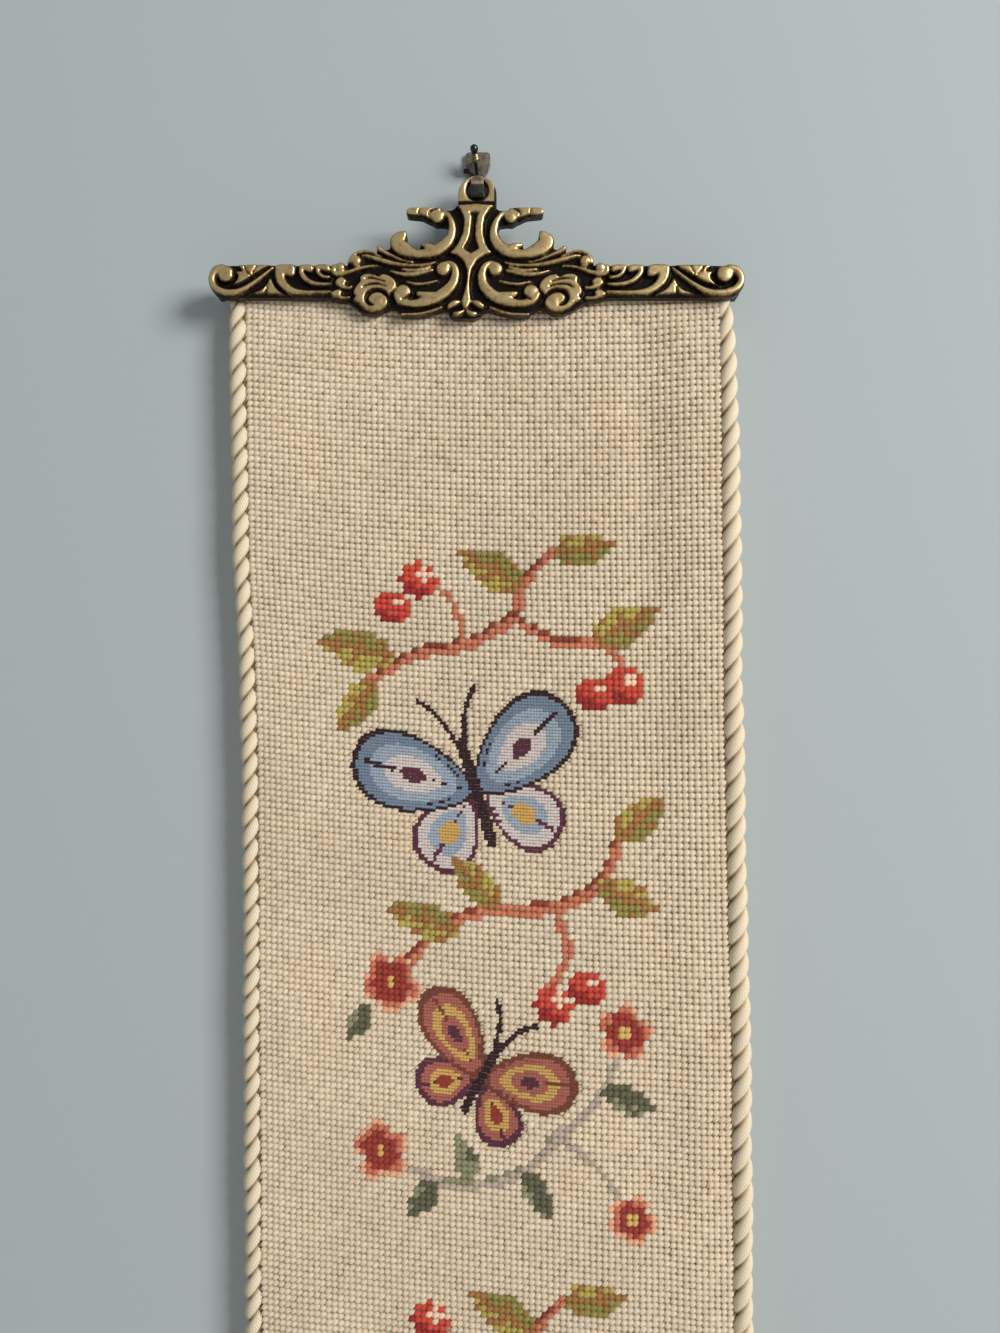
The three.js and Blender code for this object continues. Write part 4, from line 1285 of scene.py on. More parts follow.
def butterfly(x, y, wool, middle, size, turn, upper, lower, body):
    """Two upper and two lower wings, a body and feelers. Gives the squares that it covers."""
    cover = np.zeros(len(x), dtype=bool)
    c, s = math.cos(turn), math.sin(turn)
    x0, y0 = middle

    def spot(right, down):
        return x0 + size * (right * c - down * s), y0 + size * (right * s + down * c)

    for (beside, below, long, wide, spread), bands in ((LOWER_WING, lower), (UPPER_WING, upper)):
        for side in (1, -1):
            root = spot(side * beside, below)
            wing_turn = turn + (spread if side > 0 else math.pi - spread)
            cover |= wing(x, y, wool, root, (long * size, wide * size), wing_turn, bands)
    other_feeler = [(-right, down) for right, down in FEELER]
    for path, wide in ((BODY_LINE, BODY_WIDE * size), (FEELER, FEELER_WIDE), (other_feeler, FEELER_WIDE)):
        line = smooth_line([(*spot(*point), wide) for point in path])
        gap, half = line_gap(np.column_stack([x, np.zeros(len(x)), y]), line)
        wool[gap < half] = body
        cover |= gap < half
    return cover

# %% The design
# The bands of the wings, from the edge inwards. Columns: how far out, colour.
BLUE_UPPER = [(1, DARK_PLUM), (0.91, STEEL_BLUE), (0.7, PALE_BLUE), (0.46, LAVENDER), (0.2, PLUM)]
BLUE_LOWER = [(1, PLUM), (0.87, LAVENDER), (0.58, PALE_BLUE), (0.3, GOLD)]
BROWN_UPPER = [(1, BROWN), (0.84, ROSE), (0.62, GOLD), (0.4, ROSE), (0.2, PLUM)]
BROWN_LOWER = [(1, PLUM), (0.8, ROSE), (0.54, GOLD), (0.28, DEEP_RED)]
# Every motif of a repeat, in the order in which they are painted. Columns: brush, then what it needs.
MOTIFS = [
    (stem, [(52, 2, 1.4), (46, 8, 1.8), (44, 14, 2), (36, 19, 2.2), (28, 21, 2), (20, 26, 1.6)], TWIG),
    (stem, [(44, 14, 1.8), (51, 18, 1.8), (58, 18, 1.4), (62, 22, 1.2)], TWIG),
    (stem, [(36, 19, 1.4), (34, 12, 1.3), (29, 8, 1.2)], TWIG),
    (leaf, (51, 3), (61, 1.5), 6, GREEN_LEAF),
    (leaf, (46, 9), (35, 3), 6.4, GREEN_LEAF),
    (leaf, (57, 18), (68, 12), 6.4, GREEN_LEAF),
    (leaf, (24, 22), (11, 20), 7, GREEN_LEAF),
    (leaf, (21, 26), (14, 35), 5.6, MOSS_LEAF),
    (berry, (28.5, 8.5), 3.1),
    (berry, (24, 13.5), 2.9),
    (berry, (62, 25), 3),
    (berry, (57, 26.5), 2.7),
    (butterfly, (37, 42), 19, -0.3, BLUE_UPPER, BLUE_LOWER, DARK_PLUM),
    (stem, [(61, 48, 1.4), (58, 56, 2), (50, 61, 2.2), (40, 62, 2), (32, 65, 1.8), (26, 71, 1.6)], TWIG),
    (stem, [(50, 61, 1.6), (52, 68, 1.6), (49, 74, 1.4)], TWIG),
    (leaf, (60, 50), (68, 43), 6, GREEN_LEAF),
    (leaf, (57, 57), (67, 61), 6, GREEN_LEAF),
    (leaf, (41, 62), (33, 54), 5.6, MOSS_LEAF),
    (leaf, (34, 66), (22, 63), 6, GREEN_LEAF),
    (berry, (49.5, 76.5), 3.1),
    (berry, (55, 73.5), 2.7),
    (blossom, (22.5, 75), 5.2, 0.3),
    (leaf, (19, 79), (15, 85), 3.6, GREY_LEAF),
    (stem, [(60, 82, 1), (57, 90, 1.4), (50, 97, 1.6), (44, 103, 1.8), (34, 106, 1.8), (24, 104, 1.4)],
     BARK),
    (stem, [(50, 97, 1), (56, 101, 1.2), (61, 107, 1)], BARK),
    (blossom, (61, 80), 4.6, 1.1),
    (blossom, (20.5, 102), 5, 0.8),
    (blossom, (62, 109), 4.2, 0.1),
    (leaf, (57, 89), (66, 92), 4.2, GREY_LEAF),
    (leaf, (44, 103), (49, 110), 4.4, GREY_LEAF),
    (leaf, (30, 106), (25, 112), 4, GREY_LEAF),
    (leaf, (36, 105), (33, 98), 3.8, SAGE_LEAF),
    (butterfly, (38, 88), 14, 0.5, BROWN_UPPER, BROWN_LOWER, DARK_PLUM),
]


def design(x, y):
    """The wool of each square, and whether it is worked in petit point, for places in one repeat."""
    wool = np.tile(CREAM, (len(x), 1))
    petit = np.zeros(len(x), dtype=bool)
    for brush, *how in MOTIFS:
        covered = brush(x, y, wool, *how)
        if brush is butterfly:
            petit |= covered
    return wool, petit


print("the design has", len(MOTIFS), "motifs")

# %% The chart
COLUMNS = 78
REPEAT_ROWS = 120


def repeat_chart(fine):
    """A repeat's wool colours and petit point squares, with so many places to each square's side."""
    marks = [(np.arange(count * fine) + 0.5) / fine for count in (COLUMNS, REPEAT_ROWS)]
    across, down = np.meshgrid(*marks)
    wool, petit = design(across.ravel(), down.ravel())
    return wool.reshape(*across.shape, 3), petit.reshape(across.shape)


chart, chart_petit = repeat_chart(1)
fine_chart, fine_petit = repeat_chart(2)
chart_petit |= fine_petit.reshape(REPEAT_ROWS, 2, COLUMNS, 2).any(axis=(1, 3))
print(int((chart != CREAM).any(axis=2).sum()), "squares of a repeat are coloured,", int(chart_petit.sum()),
      "in petit point")

# %% [markdown]
# ## Rows and columns
# Hand stitching on a soft canvas is never quite even. The rows are a little closer in some stretches, the
# columns grow slightly wider to the right, and the rows slope and bow, because the canvas was pulled out of
# square as it was worked.

# %% Rows and columns
# Columns: distance below the bar's middle, height of a row.
ROW_HEIGHTS = [
    (-8, 2.4), (22, 2.47), (53, 2.42), (83, 2.32), (114, 2.23), (144, 2.3), (205, 2.36), (266, 2.42),
    (327, 2.43), (357, 2.36), (430, 2.4), (520, 2.36), (600, 2.42), (720, 2.37), (820, 2.42), (900, 2.36),
    (1015, 2.4),
]
FIRST_ROW = -6
STOP_ROWS = 1.5  # no row is added once this many rows or fewer are left to the hem
FIRST_REPEAT = 94.6
REPEATS = 3
COLUMN_SPREAD = 0.045


def row_places():
    """The middle of each row of stitches, in mm down from the bar's middle."""
    places = [FIRST_ROW]
    depths, heights = np.array(ROW_HEIGHTS).T
    while places[-1] < HEM - STOP_ROWS * heights[-1]:
        places.append(places[-1] + np.interp(places[-1], depths, heights))
    return np.array(places)


def column_place(count):
    """Where on the band's width, in mm from its middle, so many columns from the left edge end."""
    share = count / COLUMNS
    return CLOTH_WIDTH * (share + COLUMN_SPREAD * (share * share - share) - 0.5)


ROWS = row_places()
FIRST_CHART_ROW = int(np.searchsorted(ROWS, FIRST_REPEAT))
print(len(ROWS), "rows, the last", round(HEM - ROWS[-1], 2), "mm above the hem; the first design starts on",
      "row", FIRST_CHART_ROW)

# %% [markdown]
# ## Canvas
# The canvas is a thin woven sheet. Its front hides below the stitches and shows only as dark lines between
# them. Its cotton is painted darker than its own tone for those lines, and darker still in the holes between
# its threads, as painted shade. Its back shows the other side of the work: each stitch crosses two threads
# there, as long slanting bars of wool in the same colours, painted darker between each other as painted
# shade. A grid is laid out flat, moved onto the cloth's line and given a little thickness. It runs a
# millimetre on below each cord, to the seam that holds the cord, and its lower edge is stitched right to the
# hem.

# %% Canvas
CANVAS_COLUMNS = 52
FLAP_ROWS = 26
FRONT_ROWS = 256
CANVAS_LIFT = -0.6
CANVAS_THICK = 0.8
SEAM = 1  # the canvas runs this far on each side, to the seam below the cord
BARE_THREAD = 2.2  # threads are this far apart where there are no stitches


def set_colours(mesh, colours):
    """Keeps one colour of wool for each point of a mesh."""
    layer = mesh.attributes.new("wool", "FLOAT_COLOR", "POINT")
    rows = np.column_stack([colours, np.ones(len(colours))])
    layer.data.foreach_set("color", rows.astype(np.float32).ravel())


def canvas_sheet():
    """The canvas from the flap's end to the hem, with its columns and rows as a UV map."""
    stops = np.concatenate([np.linspace(FLAP_END, 0, FLAP_ROWS), np.linspace(0, HEM, FRONT_ROWS)[1:]])
    deselect_all()
    bpy.ops.mesh.primitive_grid_add(x_subdivisions=CANVAS_COLUMNS, y_subdivisions=len(stops) - 1, size=MM)
    sheet = bpy.context.object
    edge = CLOTH_WIDTH / 2 + SEAM
    u, s = np.meshgrid(np.linspace(-edge, edge, CANVAS_COLUMNS + 1), stops[::-1])
    write_points(sheet, cloth_point(u.ravel(), s.ravel(), CANVAS_LIFT))
    corner = np.empty(len(sheet.data.loops), dtype=np.int32)
    sheet.data.loops.foreach_get("vertex_index", corner)
    layer = sheet.data.uv_layers[0]
    layer.name = "cloth"
    reach = s.ravel() + row_rise(u.ravel(), s.ravel())
    rows = np.interp(reach, ROWS, np.arange(len(ROWS)))
    rows += (reach - np.clip(reach, ROWS[0], ROWS[-1])) / BARE_THREAD
    columns = (u.ravel() / CLOTH_WIDTH + 0.5) * COLUMNS
    layer.data.foreach_set("uv", np.column_stack([columns, rows])[corner].astype(np.float32).ravel())
    row = np.floor(rows).astype(int) - FIRST_CHART_ROW
    column = np.clip(columns.astype(int), 0, COLUMNS - 1)
    charted = (row >= 0) & (row < REPEATS * REPEAT_ROWS)
    set_colours(sheet.data, np.where(charted[:, None], chart[row % REPEAT_ROWS, column], CREAM))
    set_attribute(sheet, "worked", rise(s.ravel(), FIRST_ROW - 1, FIRST_ROW))
    apply_modifier(sheet, "SOLIDIFY", thickness=CANVAS_THICK * MM, offset=0)
    return finish_piece(sheet, "canvas")


canvas = canvas_sheet()
bpy.ops.object.shade_smooth_by_angle(angle=math.radians(60))
# Solidify lists the points of the front shell first, then as many of the back shell.
half_count = len(canvas.data.vertices) // 2
set_attribute(canvas, "outer", np.repeat([1, 0], half_count))
front_off, back_off = read_points(canvas)[:, 1].reshape(2, -1).mean(axis=1)
print("the canvas has", triangles(canvas), "triangles, its front is", round(float(front_off), 2),
      "and its back", round(float(back_off), 2), "mm off the wall")

# %% [markdown]
# ## Tent stitches
# A tent stitch is a short fat bar of wool that slants over one crossing of the canvas. It is modelled once,
# as a bead of a few faces that is open below, where it sinks into the canvas. Then it is laid on every
# square with its own small turn, size and shade, because no two stitches of a hand are the same. There are
# more than forty thousand, so they are laid as arrays, all at once, and joined in four lengths of band.

# %% One stitch
# Columns: place along the stitch, width, height. Then: place across it, height.
BEAD_RINGS = [(-0.5, 0.72, 0.05), (-0.2, 1, 0.9), (0.2, 1, 1), (0.5, 0.72, 0.05)]
BEAD_ACROSS = [(-0.5, 0.46), (-0.2, 0.93), (0.14, 1), (0.5, 0.46)]
SMALL_RINGS = [(-0.5, 0.75, 0.05), (0, 1, 1), (0.5, 0.75, 0.05)]
SMALL_ACROSS = [(-0.5, 0.25), (0, 1), (0.5, 0.25)]


def bead(rings, across):
    """A stitch's points (along, across, out of the cloth), each in shares of its size, and its triangles."""
    points = [(along, wide * side, tall * high) for along, wide, tall in rings for side, high in across]
    count = len(across)
    faces = []
    for ring in range(len(rings) - 1):
        for i in range(count - 1):
            a = ring * count + i
            faces += [(a, a + count + 1, a + 1), (a, a + count, a + count + 1)]
    return np.array(points), np.array(faces)


BIG_STITCH, SMALL_STITCH = bead(BEAD_RINGS, BEAD_ACROSS), bead(SMALL_RINGS, SMALL_ACROSS)
print("a tent stitch has", len(BIG_STITCH[1]), "faces, a small one", len(SMALL_STITCH[1]))

# %% The wool's own shade
SEED = 11
rng = np.random.default_rng(SEED)
# Blotches are laid on a field that is a little larger than the band: its left and top edges, width, height.
FIELD_LEFT, FIELD_ABOVE = 95, 40
FIELD_WIDE, FIELD_TALL = 200, 1100
# Columns: size in mm, lowest value, highest value.
BROAD_DYE, FINE_DYE = (34, 0.95, 1.05), (9, 0.965, 1.035)
PINK_BLOTCH = (14, -0.035, 0.035)
OWN_SHADE, OWN_PINK = 0.035, 0.02  # how much single stitches differ
PINK_TINT = (0.35, -0.35, -0.8)


def soft_noise(u, s, size, low, high):
    """Smooth random blotches of a size in mm, between two values."""
    grid = rng.uniform(0, 1, (int(FIELD_TALL / size) + 4, int(FIELD_WIDE / size) + 4))
    x = (u + FIELD_LEFT) / size
    y = (s + FIELD_ABOVE) / size
    i, j = y.astype(int), x.astype(int)
    fx, fy = rise(x - j, 0, 1), rise(y - i, 0, 1)
    top = grid[i, j] * (1 - fx) + grid[i, j + 1] * fx
    bottom = grid[i + 1, j] * (1 - fx) + grid[i + 1, j + 1] * fx
    return low + (high - low) * (top * (1 - fy) + bottom * fy)


def shade_wool(u, s, wool):
    """Each stitch's own colour: blotches of dye, a lighter or darker thread, and uneven cream."""
    shade = soft_noise(u, s, *BROAD_DYE) * soft_noise(u, s, *FINE_DYE) * rng.normal(1, OWN_SHADE, len(u))
    plain = (wool == CREAM).all(axis=1)
    pink = np.where(plain, soft_noise(u, s, *PINK_BLOTCH) + rng.normal(0, OWN_PINK, len(u)), 0)
    return np.clip(wool * shade[:, None] * (1 + pink[:, None] * PINK_TINT), 0, 1)

# %% Laying stitches
STITCH_LEAN = 0.82
STITCH_TILT = 0.6
STITCH_SINK = 0.08  # how deep a stitch's foot sinks into the canvas
# How much single stitches differ: lean, size, place across, place down, thickness, height, length.
JITTER = (0.06, 0.03, 0.025, 0.03, 0.03, 0.1, 0.03)


def stitch_arrays(u, s, wide, tall, template, long, thick, high):
    """Points and faces of a stitch at each spot, on squares of this width and height in mm."""
    points, faces = template
    count = len(u)
    more_lean, more_size, right, down, more_thick, more_high, more_long = (
        rng.normal(0, 1, (count, len(JITTER))) * JITTER).T
    lean = tall * (STITCH_LEAN + more_lean)
    size = 1 + more_size
    middle_u = u + wide * right
    middle_s = s + tall * down
    along = points[None, :, 0] * (long * size * (1 + more_long))[:, None]
    across = points[None, :, 1] * (thick * wide * size * (1 + more_thick))[:, None]
    out = points[None, :, 2] * (high * wide * (1 + more_high))[:, None]
    place_u = middle_u[:, None] + across + along * lean[:, None]
    place_s = middle_s[:, None] - along * tall[:, None] + STITCH_TILT * across
    place_s = place_s - row_rise(middle_u, middle_s)[:, None]
    spots = cloth_point(place_u, place_s, out + CANVAS_LIFT + CANVAS_THICK / 2 - STITCH_SINK)
    faces = (faces[None] + (np.arange(count) * len(points))[:, None, None]).reshape(-1, 3)
    return spots.reshape(-1, 3), faces


def squares(fine):
    """The squares of the whole band: middle u and s, width, height, wool, petit or not."""
    per_row = COLUMNS * fine
    edges = column_place(np.arange(per_row + 1) / fine)
    middles, widths = (edges[1:] + edges[:-1]) / 2, np.diff(edges)
    heights = np.gradient(ROWS)
    offsets = (np.arange(fine) + 0.5) / fine - 0.5
    s = (ROWS[:, None] + heights[:, None] * offsets).ravel()
    height = np.repeat(heights, fine) / fine
    row = np.arange(len(ROWS) * fine) - FIRST_CHART_ROW * fine
    inside = (row >= 0) & (row < REPEATS * REPEAT_ROWS * fine)
    colours = chart if fine == 1 else fine_chart
    small = chart_petit.repeat(fine, 0).repeat(fine, 1)
    row = row % (REPEAT_ROWS * fine)
    wool = np.where(inside[:, None, None], colours[row], CREAM)
    small = np.where(inside[:, None], small[row], False)
    places = [grid.ravel() for grid in np.broadcast_arrays(middles, s[:, None], widths, height[:, None])]
    return *places, wool.reshape(-1, 3), small.ravel()


# %% [markdown]
# ## From arrays to pieces
# A mesh this big is filled from arrays in one go. It gets a second UV map for baking, in which every stitch
# has a small square of its own, and a first one that runs along the wool, for its twist.

# %% From arrays to pieces
def mesh_piece(name, points, faces, colours=None, maps=()):
    """A smooth mesh piece from rows of x, off, z in mm, with colours and UV maps for its corners."""
    mesh = bpy.data.meshes.new(name)
    mesh.vertices.add(len(points))
    mesh.loops.add(faces.size)
    mesh.polygons.add(len(faces))
    mesh.vertices.foreach_set("co", (points * [MM, -MM, MM]).astype(np.float32).ravel())
    mesh.loops.foreach_set("vertex_index", faces.astype(np.int32).ravel())
    mesh.polygons.foreach_set("loop_start", np.arange(0, faces.size, faces.shape[1], dtype=np.int32))
    mesh.update(calc_edges=True)
    mesh.polygons.foreach_set("use_smooth", np.ones(len(faces), dtype=bool))
    if colours is not None:
        set_colours(mesh, colours)
    for map_name, places in maps:
        layer = mesh.uv_layers.new(name=map_name)
        layer.data.foreach_set("uv", places[faces.ravel()].astype(np.float32).ravel())
    piece = bpy.data.objects.new(name, mesh)
    scene.collection.objects.link(piece)
    return piece


SECTIONS = 4
SECTION_MARGIN = 5
YARN_SHIFT = 40  # each stitch starts at a place of its own in the wool's pattern
BAKE_SHARE = 0.86  # how much of its small square of the bake map a stitch fills
# Columns: stitches to a square's side, template, then length, thickness and height in shares of the square.
STITCH_KINDS = [(1, BIG_STITCH, 1.03, 0.84, 0.52), (2, SMALL_STITCH, 1.06, 1.08, 0.52)]


def stitch_maps(template, count, start, total):
    """The yarn map and the bake map of a run of stitches that is part of a total."""
    flat = template[0][:, :2]
    yarn = np.tile(flat + 0.5, (count, 1)) + rng.uniform(0, YARN_SHIFT, (count, 2)).repeat(len(flat), axis=0)
    per_side = math.ceil(math.sqrt(total))
    cell = start + np.arange(count)
    corner = np.column_stack([cell % per_side, cell // per_side]).repeat(len(flat), axis=0)
    return yarn, (corner + np.tile(flat * BAKE_SHARE + 0.5, (count, 1))) / per_side


def chosen_squares(fine):
    """The squares of one kind of stitch: u, s, width, height and the wool's own shade."""
    *places, wool, petit = squares(fine)
    keep = petit if fine == 2 else ~petit
    u, s, wide, tall = (values[keep] for values in places)
    return u, s, wide, tall, shade_wool(u, s, wool[keep])


def stitch_piece(name, top, bottom, kinds):
    """One piece of all the stitches between two places down the band."""
    picks = [(s >= top) & (s < bottom) for (_, s, *_), *_ in kinds]
    total = sum(int(pick.sum()) for pick in picks)
    runs = []
    start = first_point = 0
    for pick, (found, template, *shares) in zip(picks, kinds):
        u, s, wide, tall, wool = (values[pick] for values in found)
        spots, faces = stitch_arrays(u, s, wide, tall, template, *shares)
        maps = stitch_maps(template, len(u), start, total)
        per_stitch = len(template[0])
        # How low each point lies in its stitch: the material paints the wool darker there, as painted shade.
        crease_shades = np.tile(1 - template[0][:, 2], len(u))
        runs.append((spots, faces + first_point, wool.repeat(per_stitch, axis=0), crease_shades, *maps))
        start += len(u)
        first_point += len(spots)
    points, faces, colours, crease_shades, yarn, bake = (np.concatenate(parts) for parts in zip(*runs))
    piece = mesh_piece(name, points, faces, colours, (("yarn", yarn), ("OFBake", bake)))
    set_attribute(piece, "crease_shade", crease_shades)
    print(name, "has", total, "stitches and", triangles(piece), "triangles")
    return piece

# %% Lay the stitches
kinds = [(chosen_squares(fine), template, *shares) for fine, template, *shares in STITCH_KINDS]
section_ends = np.linspace(FIRST_ROW - SECTION_MARGIN, HEM + SECTION_MARGIN, SECTIONS + 1)
stitches = [stitch_piece(f"tent_stitches_{i + 1}", section_ends[i], section_ends[i + 1], kinds)
            for i in range(SECTIONS)]

# %% [markdown]
# ## Edge cords
# A twisted cord is sewn down each side. Two soft plies wind round each other, so a cut through the cord is
# two fat halves with a groove between them, and that section turns as it climbs. The cord is as long as the
# cloth. The right one is looser and fatter, and its top is thinner and bends in behind the header.

# %% Edge cords
CORD_OFF = 9
CORD_BOTTOM = CLOTH_BOTTOM + 0.6
CORD_TOP = -56.2
PLIES = 2
AROUND_PLY = 11
AROUND = PLIES * AROUND_PLY
PLY_REACH = 1.04
GROOVE = 0.5
GROOVE_POWER = 2.6
CORD_STEP = 1.4
STRAND_UNIT = 10  # mm of cord to one unit of its yarn map
# How the middle, the thickness and the twist wander up a cord. Columns: height, length, phase.
THICKNESS_WAVES = [(0.02, 13.1, 0), (0.02, 5.7, 2)]
TWIST_WAVES = [(0.3, 47, 0), (0.15, 17, 0)]
# Columns: side, twist's length, waves of its middle, then its shape.
# Columns of a shape: z, radius, how far its middle is from the band, push off the wall.
CORDS = {
    "cord_left": (-1, 16.4, [(0.14, 9.3, -1), (0.12, 21.7, 0)], [
        (-1066, 3.7, 3, 0), (-80, 3.7, 3.1, 0), (-68, 3.6, 3.3, 0), (-56, 3.3, 3.3, -0.5),
    ]),
    "cord_right": (1, 17.6, [(0.14, 9.3, 1), (0.12, 21.7, 0)], [
        (-1066, 4.2, 4, 0), (-300, 4.2, 4, 0), (-150, 4.1, 3.8, 0), (-110, 3.9, 3.4, 0), (-80, 3.7, 3.1, 0),
        (-66, 3.4, 2.6, 0), (-56, 3.2, 1.8, -0.5),
    ]),
}


def cord_section(turn, radius):
    """Two soft plies pressed together: rows of x and off for each turn, and how deep in the groove."""
    angles = np.arange(AROUND) / AROUND_PLY
    beside = np.abs(angles % 1 - 0.5) * 2
    reach = PLY_REACH - GROOVE * beside ** GROOVE_POWER
    way = turn[:, None] + angles[None, :] * 2 * math.pi / PLIES
    return (radius[:, None] * reach)[..., None] * np.stack([np.sin(way), np.cos(way)], axis=-1), beside


def tube_faces(rows):
    """The triangles of a tube of so many rings and of its ends, whose middles are the last two points."""
    here = np.arange(AROUND)
    there = (here + 1) % AROUND
    ring = (np.arange(rows - 1) * AROUND)[:, None]
    a, b = (ring + here).ravel(), (ring + there).ravel()
    low, high = np.full(AROUND, rows * AROUND), np.full(AROUND, rows * AROUND + 1)
    last = (rows - 1) * AROUND
    return np.concatenate([
        np.column_stack([a, b, b + AROUND]), np.column_stack([a, b + AROUND, a + AROUND]),
        np.column_stack([low, there, here]), np.column_stack([high, last + here, last + there]),
    ])


def edge_cord(name, side, lead, middle_waves, shape):
    """A cord up one side."""
    z = np.append(np.arange(CORD_BOTTOM, CORD_TOP, CORD_STEP), CORD_TOP)
    heights, radii, gaps, lifts = np.array(shape).T
    radius = np.interp(z, heights, radii) * (1 + waves(z, THICKNESS_WAVES))
    from_band = np.interp(z, heights, gaps) + waves(z, middle_waves)
    middle = band_centre(z) + side * (band_half(z) + from_band)
    off = CORD_OFF + np.interp(z, heights, lifts)
    section, beside = cord_section(2 * math.pi * z / lead + waves(z, TWIST_WAVES), radius)
    up = np.broadcast_to(z[:, None], section.shape[:2])
    points = np.stack([middle[:, None] + section[..., 0], off[:, None] + section[..., 1], up], axis=-1)
    ends = points[[0, -1]].mean(axis=1)
    points = np.concatenate([points.reshape(-1, 3), ends])
    ply = np.append(np.tile(np.arange(AROUND) / AROUND_PLY, len(z)), [0, 0])
    yarn = np.column_stack([ply, np.append(z.repeat(AROUND), [z[0], z[-1]]) / STRAND_UNIT])
    piece = mesh_piece(name, points, tube_faces(len(z)), maps=(("yarn", yarn),))
    # How deep each point lies in the groove: the material paints the cord darker there, as painted shade
    # with a little dirt.
    set_attribute(piece, "crease_shade", np.append(np.tile(beside, len(z)), [0, 0]))
    print(name, "has", triangles(piece), "triangles and is", round(CORD_TOP - CORD_BOTTOM), "mm long")
    return piece


cords = [edge_cord(name, *how) for name, how in CORDS.items()]

# %% [markdown]
# ## Wool and canvas
# Wool scatters light, so it is rough, with a faint sheen of loose fibres, and its plies show as fine ridges
# along the thread, which are also painted lighter and the gaps between them darker, as painted highlight
# and shade. Its colour is each stitch's own, and painted darker where it sinks between its neighbours, as
# painted shade. The cords are one cream, painted dark in their grooves, as painted shade with a little
# dirt. Canvas is stiff cotton, painted darker than its own tone between the stitches, as painted shade; on
# the back the wool crosses it in slanting bars, painted darker between each other, as painted shade.

# %% Wool
# Painted shade where the wool sinks into a crease. Columns: how deep in a crease, how much darker.
CREASE_SHADE_TONES = [(0.1, (1, 1, 1)), (0.6, (0.84, 0.81, 0.75)), (1, (0.42, 0.36, 0.27))]
# The cords' cream, painted darker deep in their grooves as painted shade with a little dirt. Columns: how
# deep, colour.
CORD_CREAM_AND_GROOVE_SHADE = [(0, tone(234, 218, 190)), (0.72, tone(230, 213, 184)), (1, tone(150, 128, 96))]
# Painted highlight on the ridges of the plies and painted shade between them. Columns: strand height, how
# much lighter or darker.
STRAND_HIGHLIGHT_AND_SHADE = [(0.42, (0.8, 0.77, 0.715)), (0.88, (1.1, 1.1, 1.1))]
WOOL_ROUGH = (0.4, 1, 0.95, 0.8)


def wool_material(name, colour, strands, depth):
    """Woollen yarn with plies or strands along its yarn map, coloured by tones or an attribute, with painted
    shade in its creases and painted highlight and shade along its strands.
    """
    material, nodes, links, shader = new_material(name)
    where = add_node(nodes, "TexCoord").outputs["Object"]
    yarn = add_node(nodes, "UVMap", uv_map="yarn").outputs["UV"]
    fluff = maths(nodes, links, "MULTIPLY", noise(nodes, links, where, 2600), 0.45)
    height = maths(nodes, links, "ADD", strands(nodes, links, yarn), fluff)
    # The wool's colour is darkened by depth in a crease or groove: painted shade.
    crease_shade_share = add_node(nodes, "Attribute", attribute_name="crease_shade").outputs["Fac"]
    own = ramp(nodes, links, crease_shade_share, colour or CREASE_SHADE_TONES)
    if colour is None:
        wool = add_node(nodes, "Attribute", attribute_name="wool").outputs["Color"]
        own = mixed(nodes, links, 1, wool, own, "MULTIPLY")
    tint = mixed(nodes, links, 1, own, ramp(nodes, links, height, STRAND_HIGHLIGHT_AND_SHADE), "MULTIPLY")
    links.new(tint, shader.inputs["Base Color"])
    links.new(between(nodes, links, height, *WOOL_ROUGH), shader.inputs["Roughness"])
    shader.inputs["Specular IOR Level"].default_value = 0.25
    shader.inputs["Sheen Weight"].default_value = 0.12
    shader.inputs["Sheen Roughness"].default_value = 0.5
    add_bump(nodes, links, shader, height, depth, strength=0.7)
    return material


def stitch_strands(nodes, links, yarn):
    """A few plies side by side along each stitch."""
    stretch = add_node(nodes, "Mapping", Scale=(1, 4, 1))
    links.new(yarn, stretch.inputs["Vector"])
    return noise(nodes, links, stretch.outputs["Vector"], 2.2)


def cord_strands(nodes, links, yarn):
    """Thin strands that wind round each ply against the cord's own twist."""
    count = add_node(nodes, "VectorMath", operation="DOT_PRODUCT")
    feed(links, count.inputs, (yarn, (11, 18.5, 0)))
    stray = maths(nodes, links, "MULTIPLY", noise(nodes, links, yarn, 5, 2), 0.9)
    place_round = maths(nodes, links, "ADD", count.outputs["Value"], stray)
    wave = maths(nodes, links, "SINE", maths(nodes, links, "MULTIPLY", place_round, 2 * math.pi))
    return between(nodes, links, wave, -1, 1, 0.25, 0.6)


stitch_wool = wool_material("tent_stitch_wool", None, stitch_strands, depth=0.12)
cord_wool = wool_material("cord_wool", CORD_CREAM_AND_GROOVE_SHADE, cord_strands, depth=0.22)
for pieces, wool in ((stitches, stitch_wool), (cords, cord_wool)):
    for piece in pieces:
        piece.data.materials.append(wool)
print("the stitches' wool has", len(stitch_wool.node_tree.nodes), "nodes")

# %% Canvas and its worked back
# Painted shade: the wool bars on the back are darker where they sink between each other. Columns: relief
# height, how much darker.
BAR_SHADE_TONES = [(0.15, (0.42, 0.38, 0.32)), (0.8, (0.95, 0.93, 0.9))]
# The cotton's colour: partly its own tone, partly painted shade for the gaps between stitches, darkest in
# the holes between threads.
COTTON_AND_GAP_SHADE_TONES = [(0.3, tone(84, 70, 46)), (0.95, tone(138, 119, 86))]
BAR_SLANT = 0.5  # columns that a bar of wool on the back leans for each row
BAR_SHARE = 0.3
THREAD_SHIFT = 0.25
CANVAS_ROUGH = (0, 1, 0.95, 0.82)


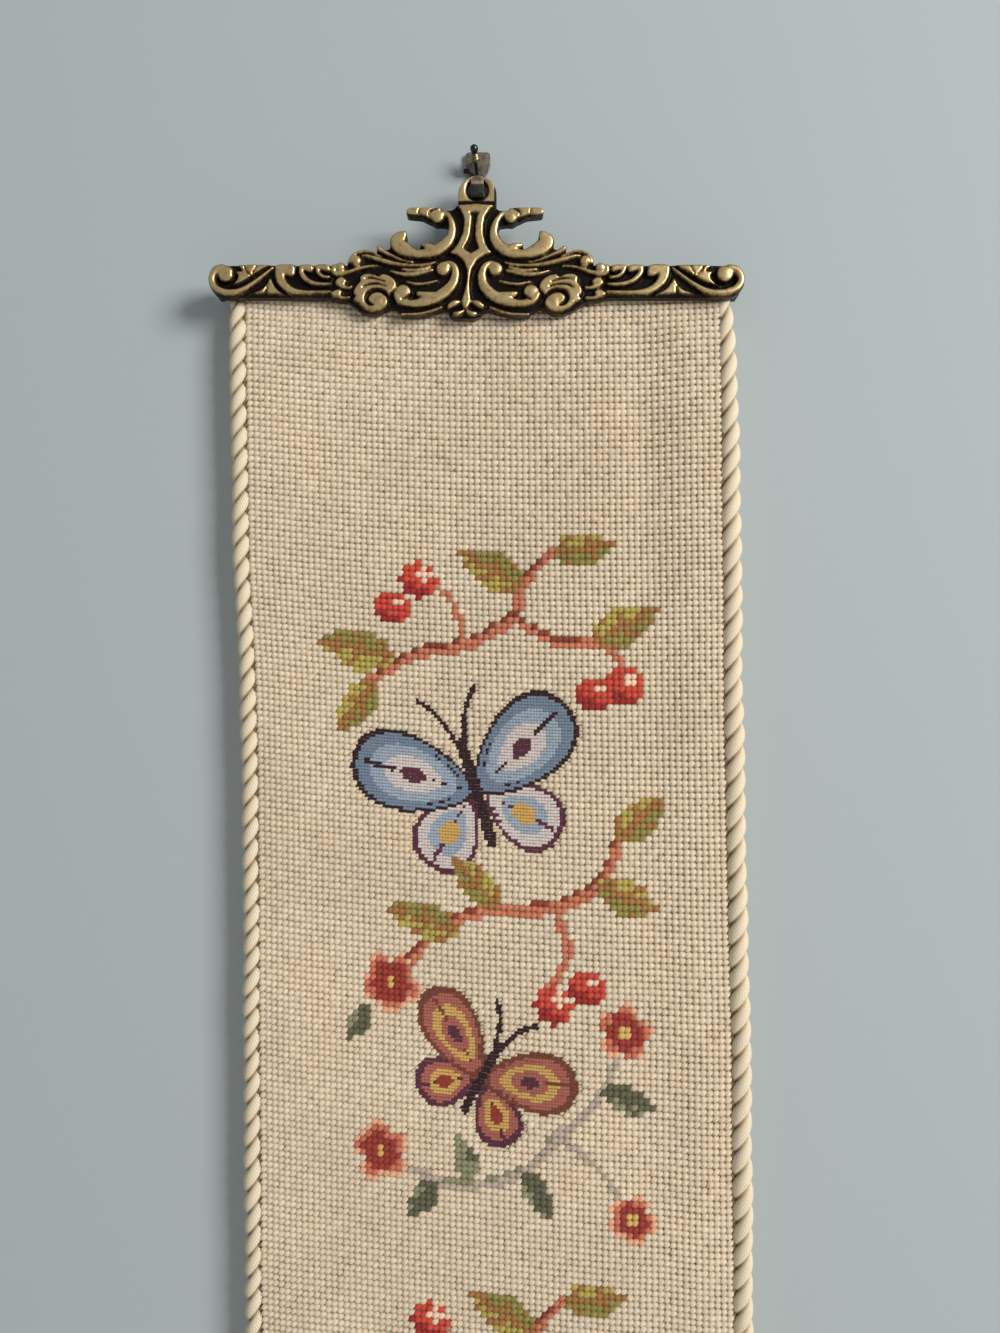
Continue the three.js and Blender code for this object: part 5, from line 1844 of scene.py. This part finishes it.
def canvas_material():
    """Cotton canvas in front and on the flap, and slanting bars of wool on the worked part of the back, with
    painted shade in the cotton's gaps and holes and between the bars.
    """
    material, nodes, links, shader = new_material("canvas")
    cloth = add_node(nodes, "UVMap", uv_map="cloth").outputs["UV"]
    parts = add_node(nodes, "SeparateXYZ")
    links.new(cloth, parts.inputs[0])
    column, row = parts.outputs[0], parts.outputs[1]

    def combine(operation, first, second=0):
        return maths(nodes, links, operation, first, second)

    slant = combine("ADD", column, combine("MULTIPLY", row, BAR_SLANT))
    bar = combine("SINE", combine("MULTIPLY", slant, 2 * math.pi))
    ridge = combine("ABSOLUTE", combine("SINE", combine("MULTIPLY", row, math.pi)))
    relief = combine("ADD", combine("MULTIPLY", bar, BAR_SHARE), ridge)
    thread_waves = []
    for spot in (column, row):
        turns = combine("MULTIPLY", combine("SUBTRACT", spot, THREAD_SHIFT), 2 * math.pi)
        thread_waves.append(between(nodes, links, combine("SINE", turns), -1, 1, 0, 1))
    threads = combine("MAXIMUM", *thread_waves)
    outer, worked = (add_node(nodes, "Attribute", attribute_name=name).outputs["Fac"]
                     for name in ("outer", "worked"))
    back = combine("MULTIPLY", worked, combine("SUBTRACT", 1.0, outer))
    height = add_node(nodes, "Mix", data_type="FLOAT")
    feed(links, (height.inputs[0], *height.inputs[2:4]), (back, threads, relief))
    own = add_node(nodes, "Attribute", attribute_name="wool").outputs["Color"]
    wool = mixed(nodes, links, 1, own, ramp(nodes, links, relief, BAR_SHADE_TONES), "MULTIPLY")
    cotton_and_gap_shade = ramp(nodes, links, threads, COTTON_AND_GAP_SHADE_TONES)
    links.new(mixed(nodes, links, back, cotton_and_gap_shade, wool), shader.inputs["Base Color"])
    links.new(between(nodes, links, height.outputs[0], *CANVAS_ROUGH), shader.inputs["Roughness"])
    shader.inputs["Specular IOR Level"].default_value = 0.2
    add_bump(nodes, links, shader, height.outputs[0], distance=0.5, strength=0.8)
    return material


canvas.data.materials.append(canvas_material())
print("the canvas has", len(canvas.data.materials[0].node_tree.nodes), "nodes")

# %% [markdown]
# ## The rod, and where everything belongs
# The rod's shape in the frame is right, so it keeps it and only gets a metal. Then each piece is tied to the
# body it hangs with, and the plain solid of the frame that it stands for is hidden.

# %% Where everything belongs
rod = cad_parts["hanging_bar"]
rod.data.materials.clear()
rod.data.materials.append(rod_metal)
# Columns: piece, the plain solid that it stands for, its finish.
STANDS_FOR = [
    (header, "header", "header_brass"), (ring, "hanging_eye", "header_brass"),
    (hook, "picture_hook", "hook_brass"), (nail, "nail", "nail_steel"),
    (cords[0], "edge_cord_left", "wool_cord"), (cords[1], "edge_cord_right", "wool_cord"),
    *((piece, "needlepoint_band", "wool_stitches") for piece in (canvas, *stitches)),
]

for piece, node_name, slot_name in STANDS_FOR:
    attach(piece, "root")
    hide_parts(node_name)
deselect_all()
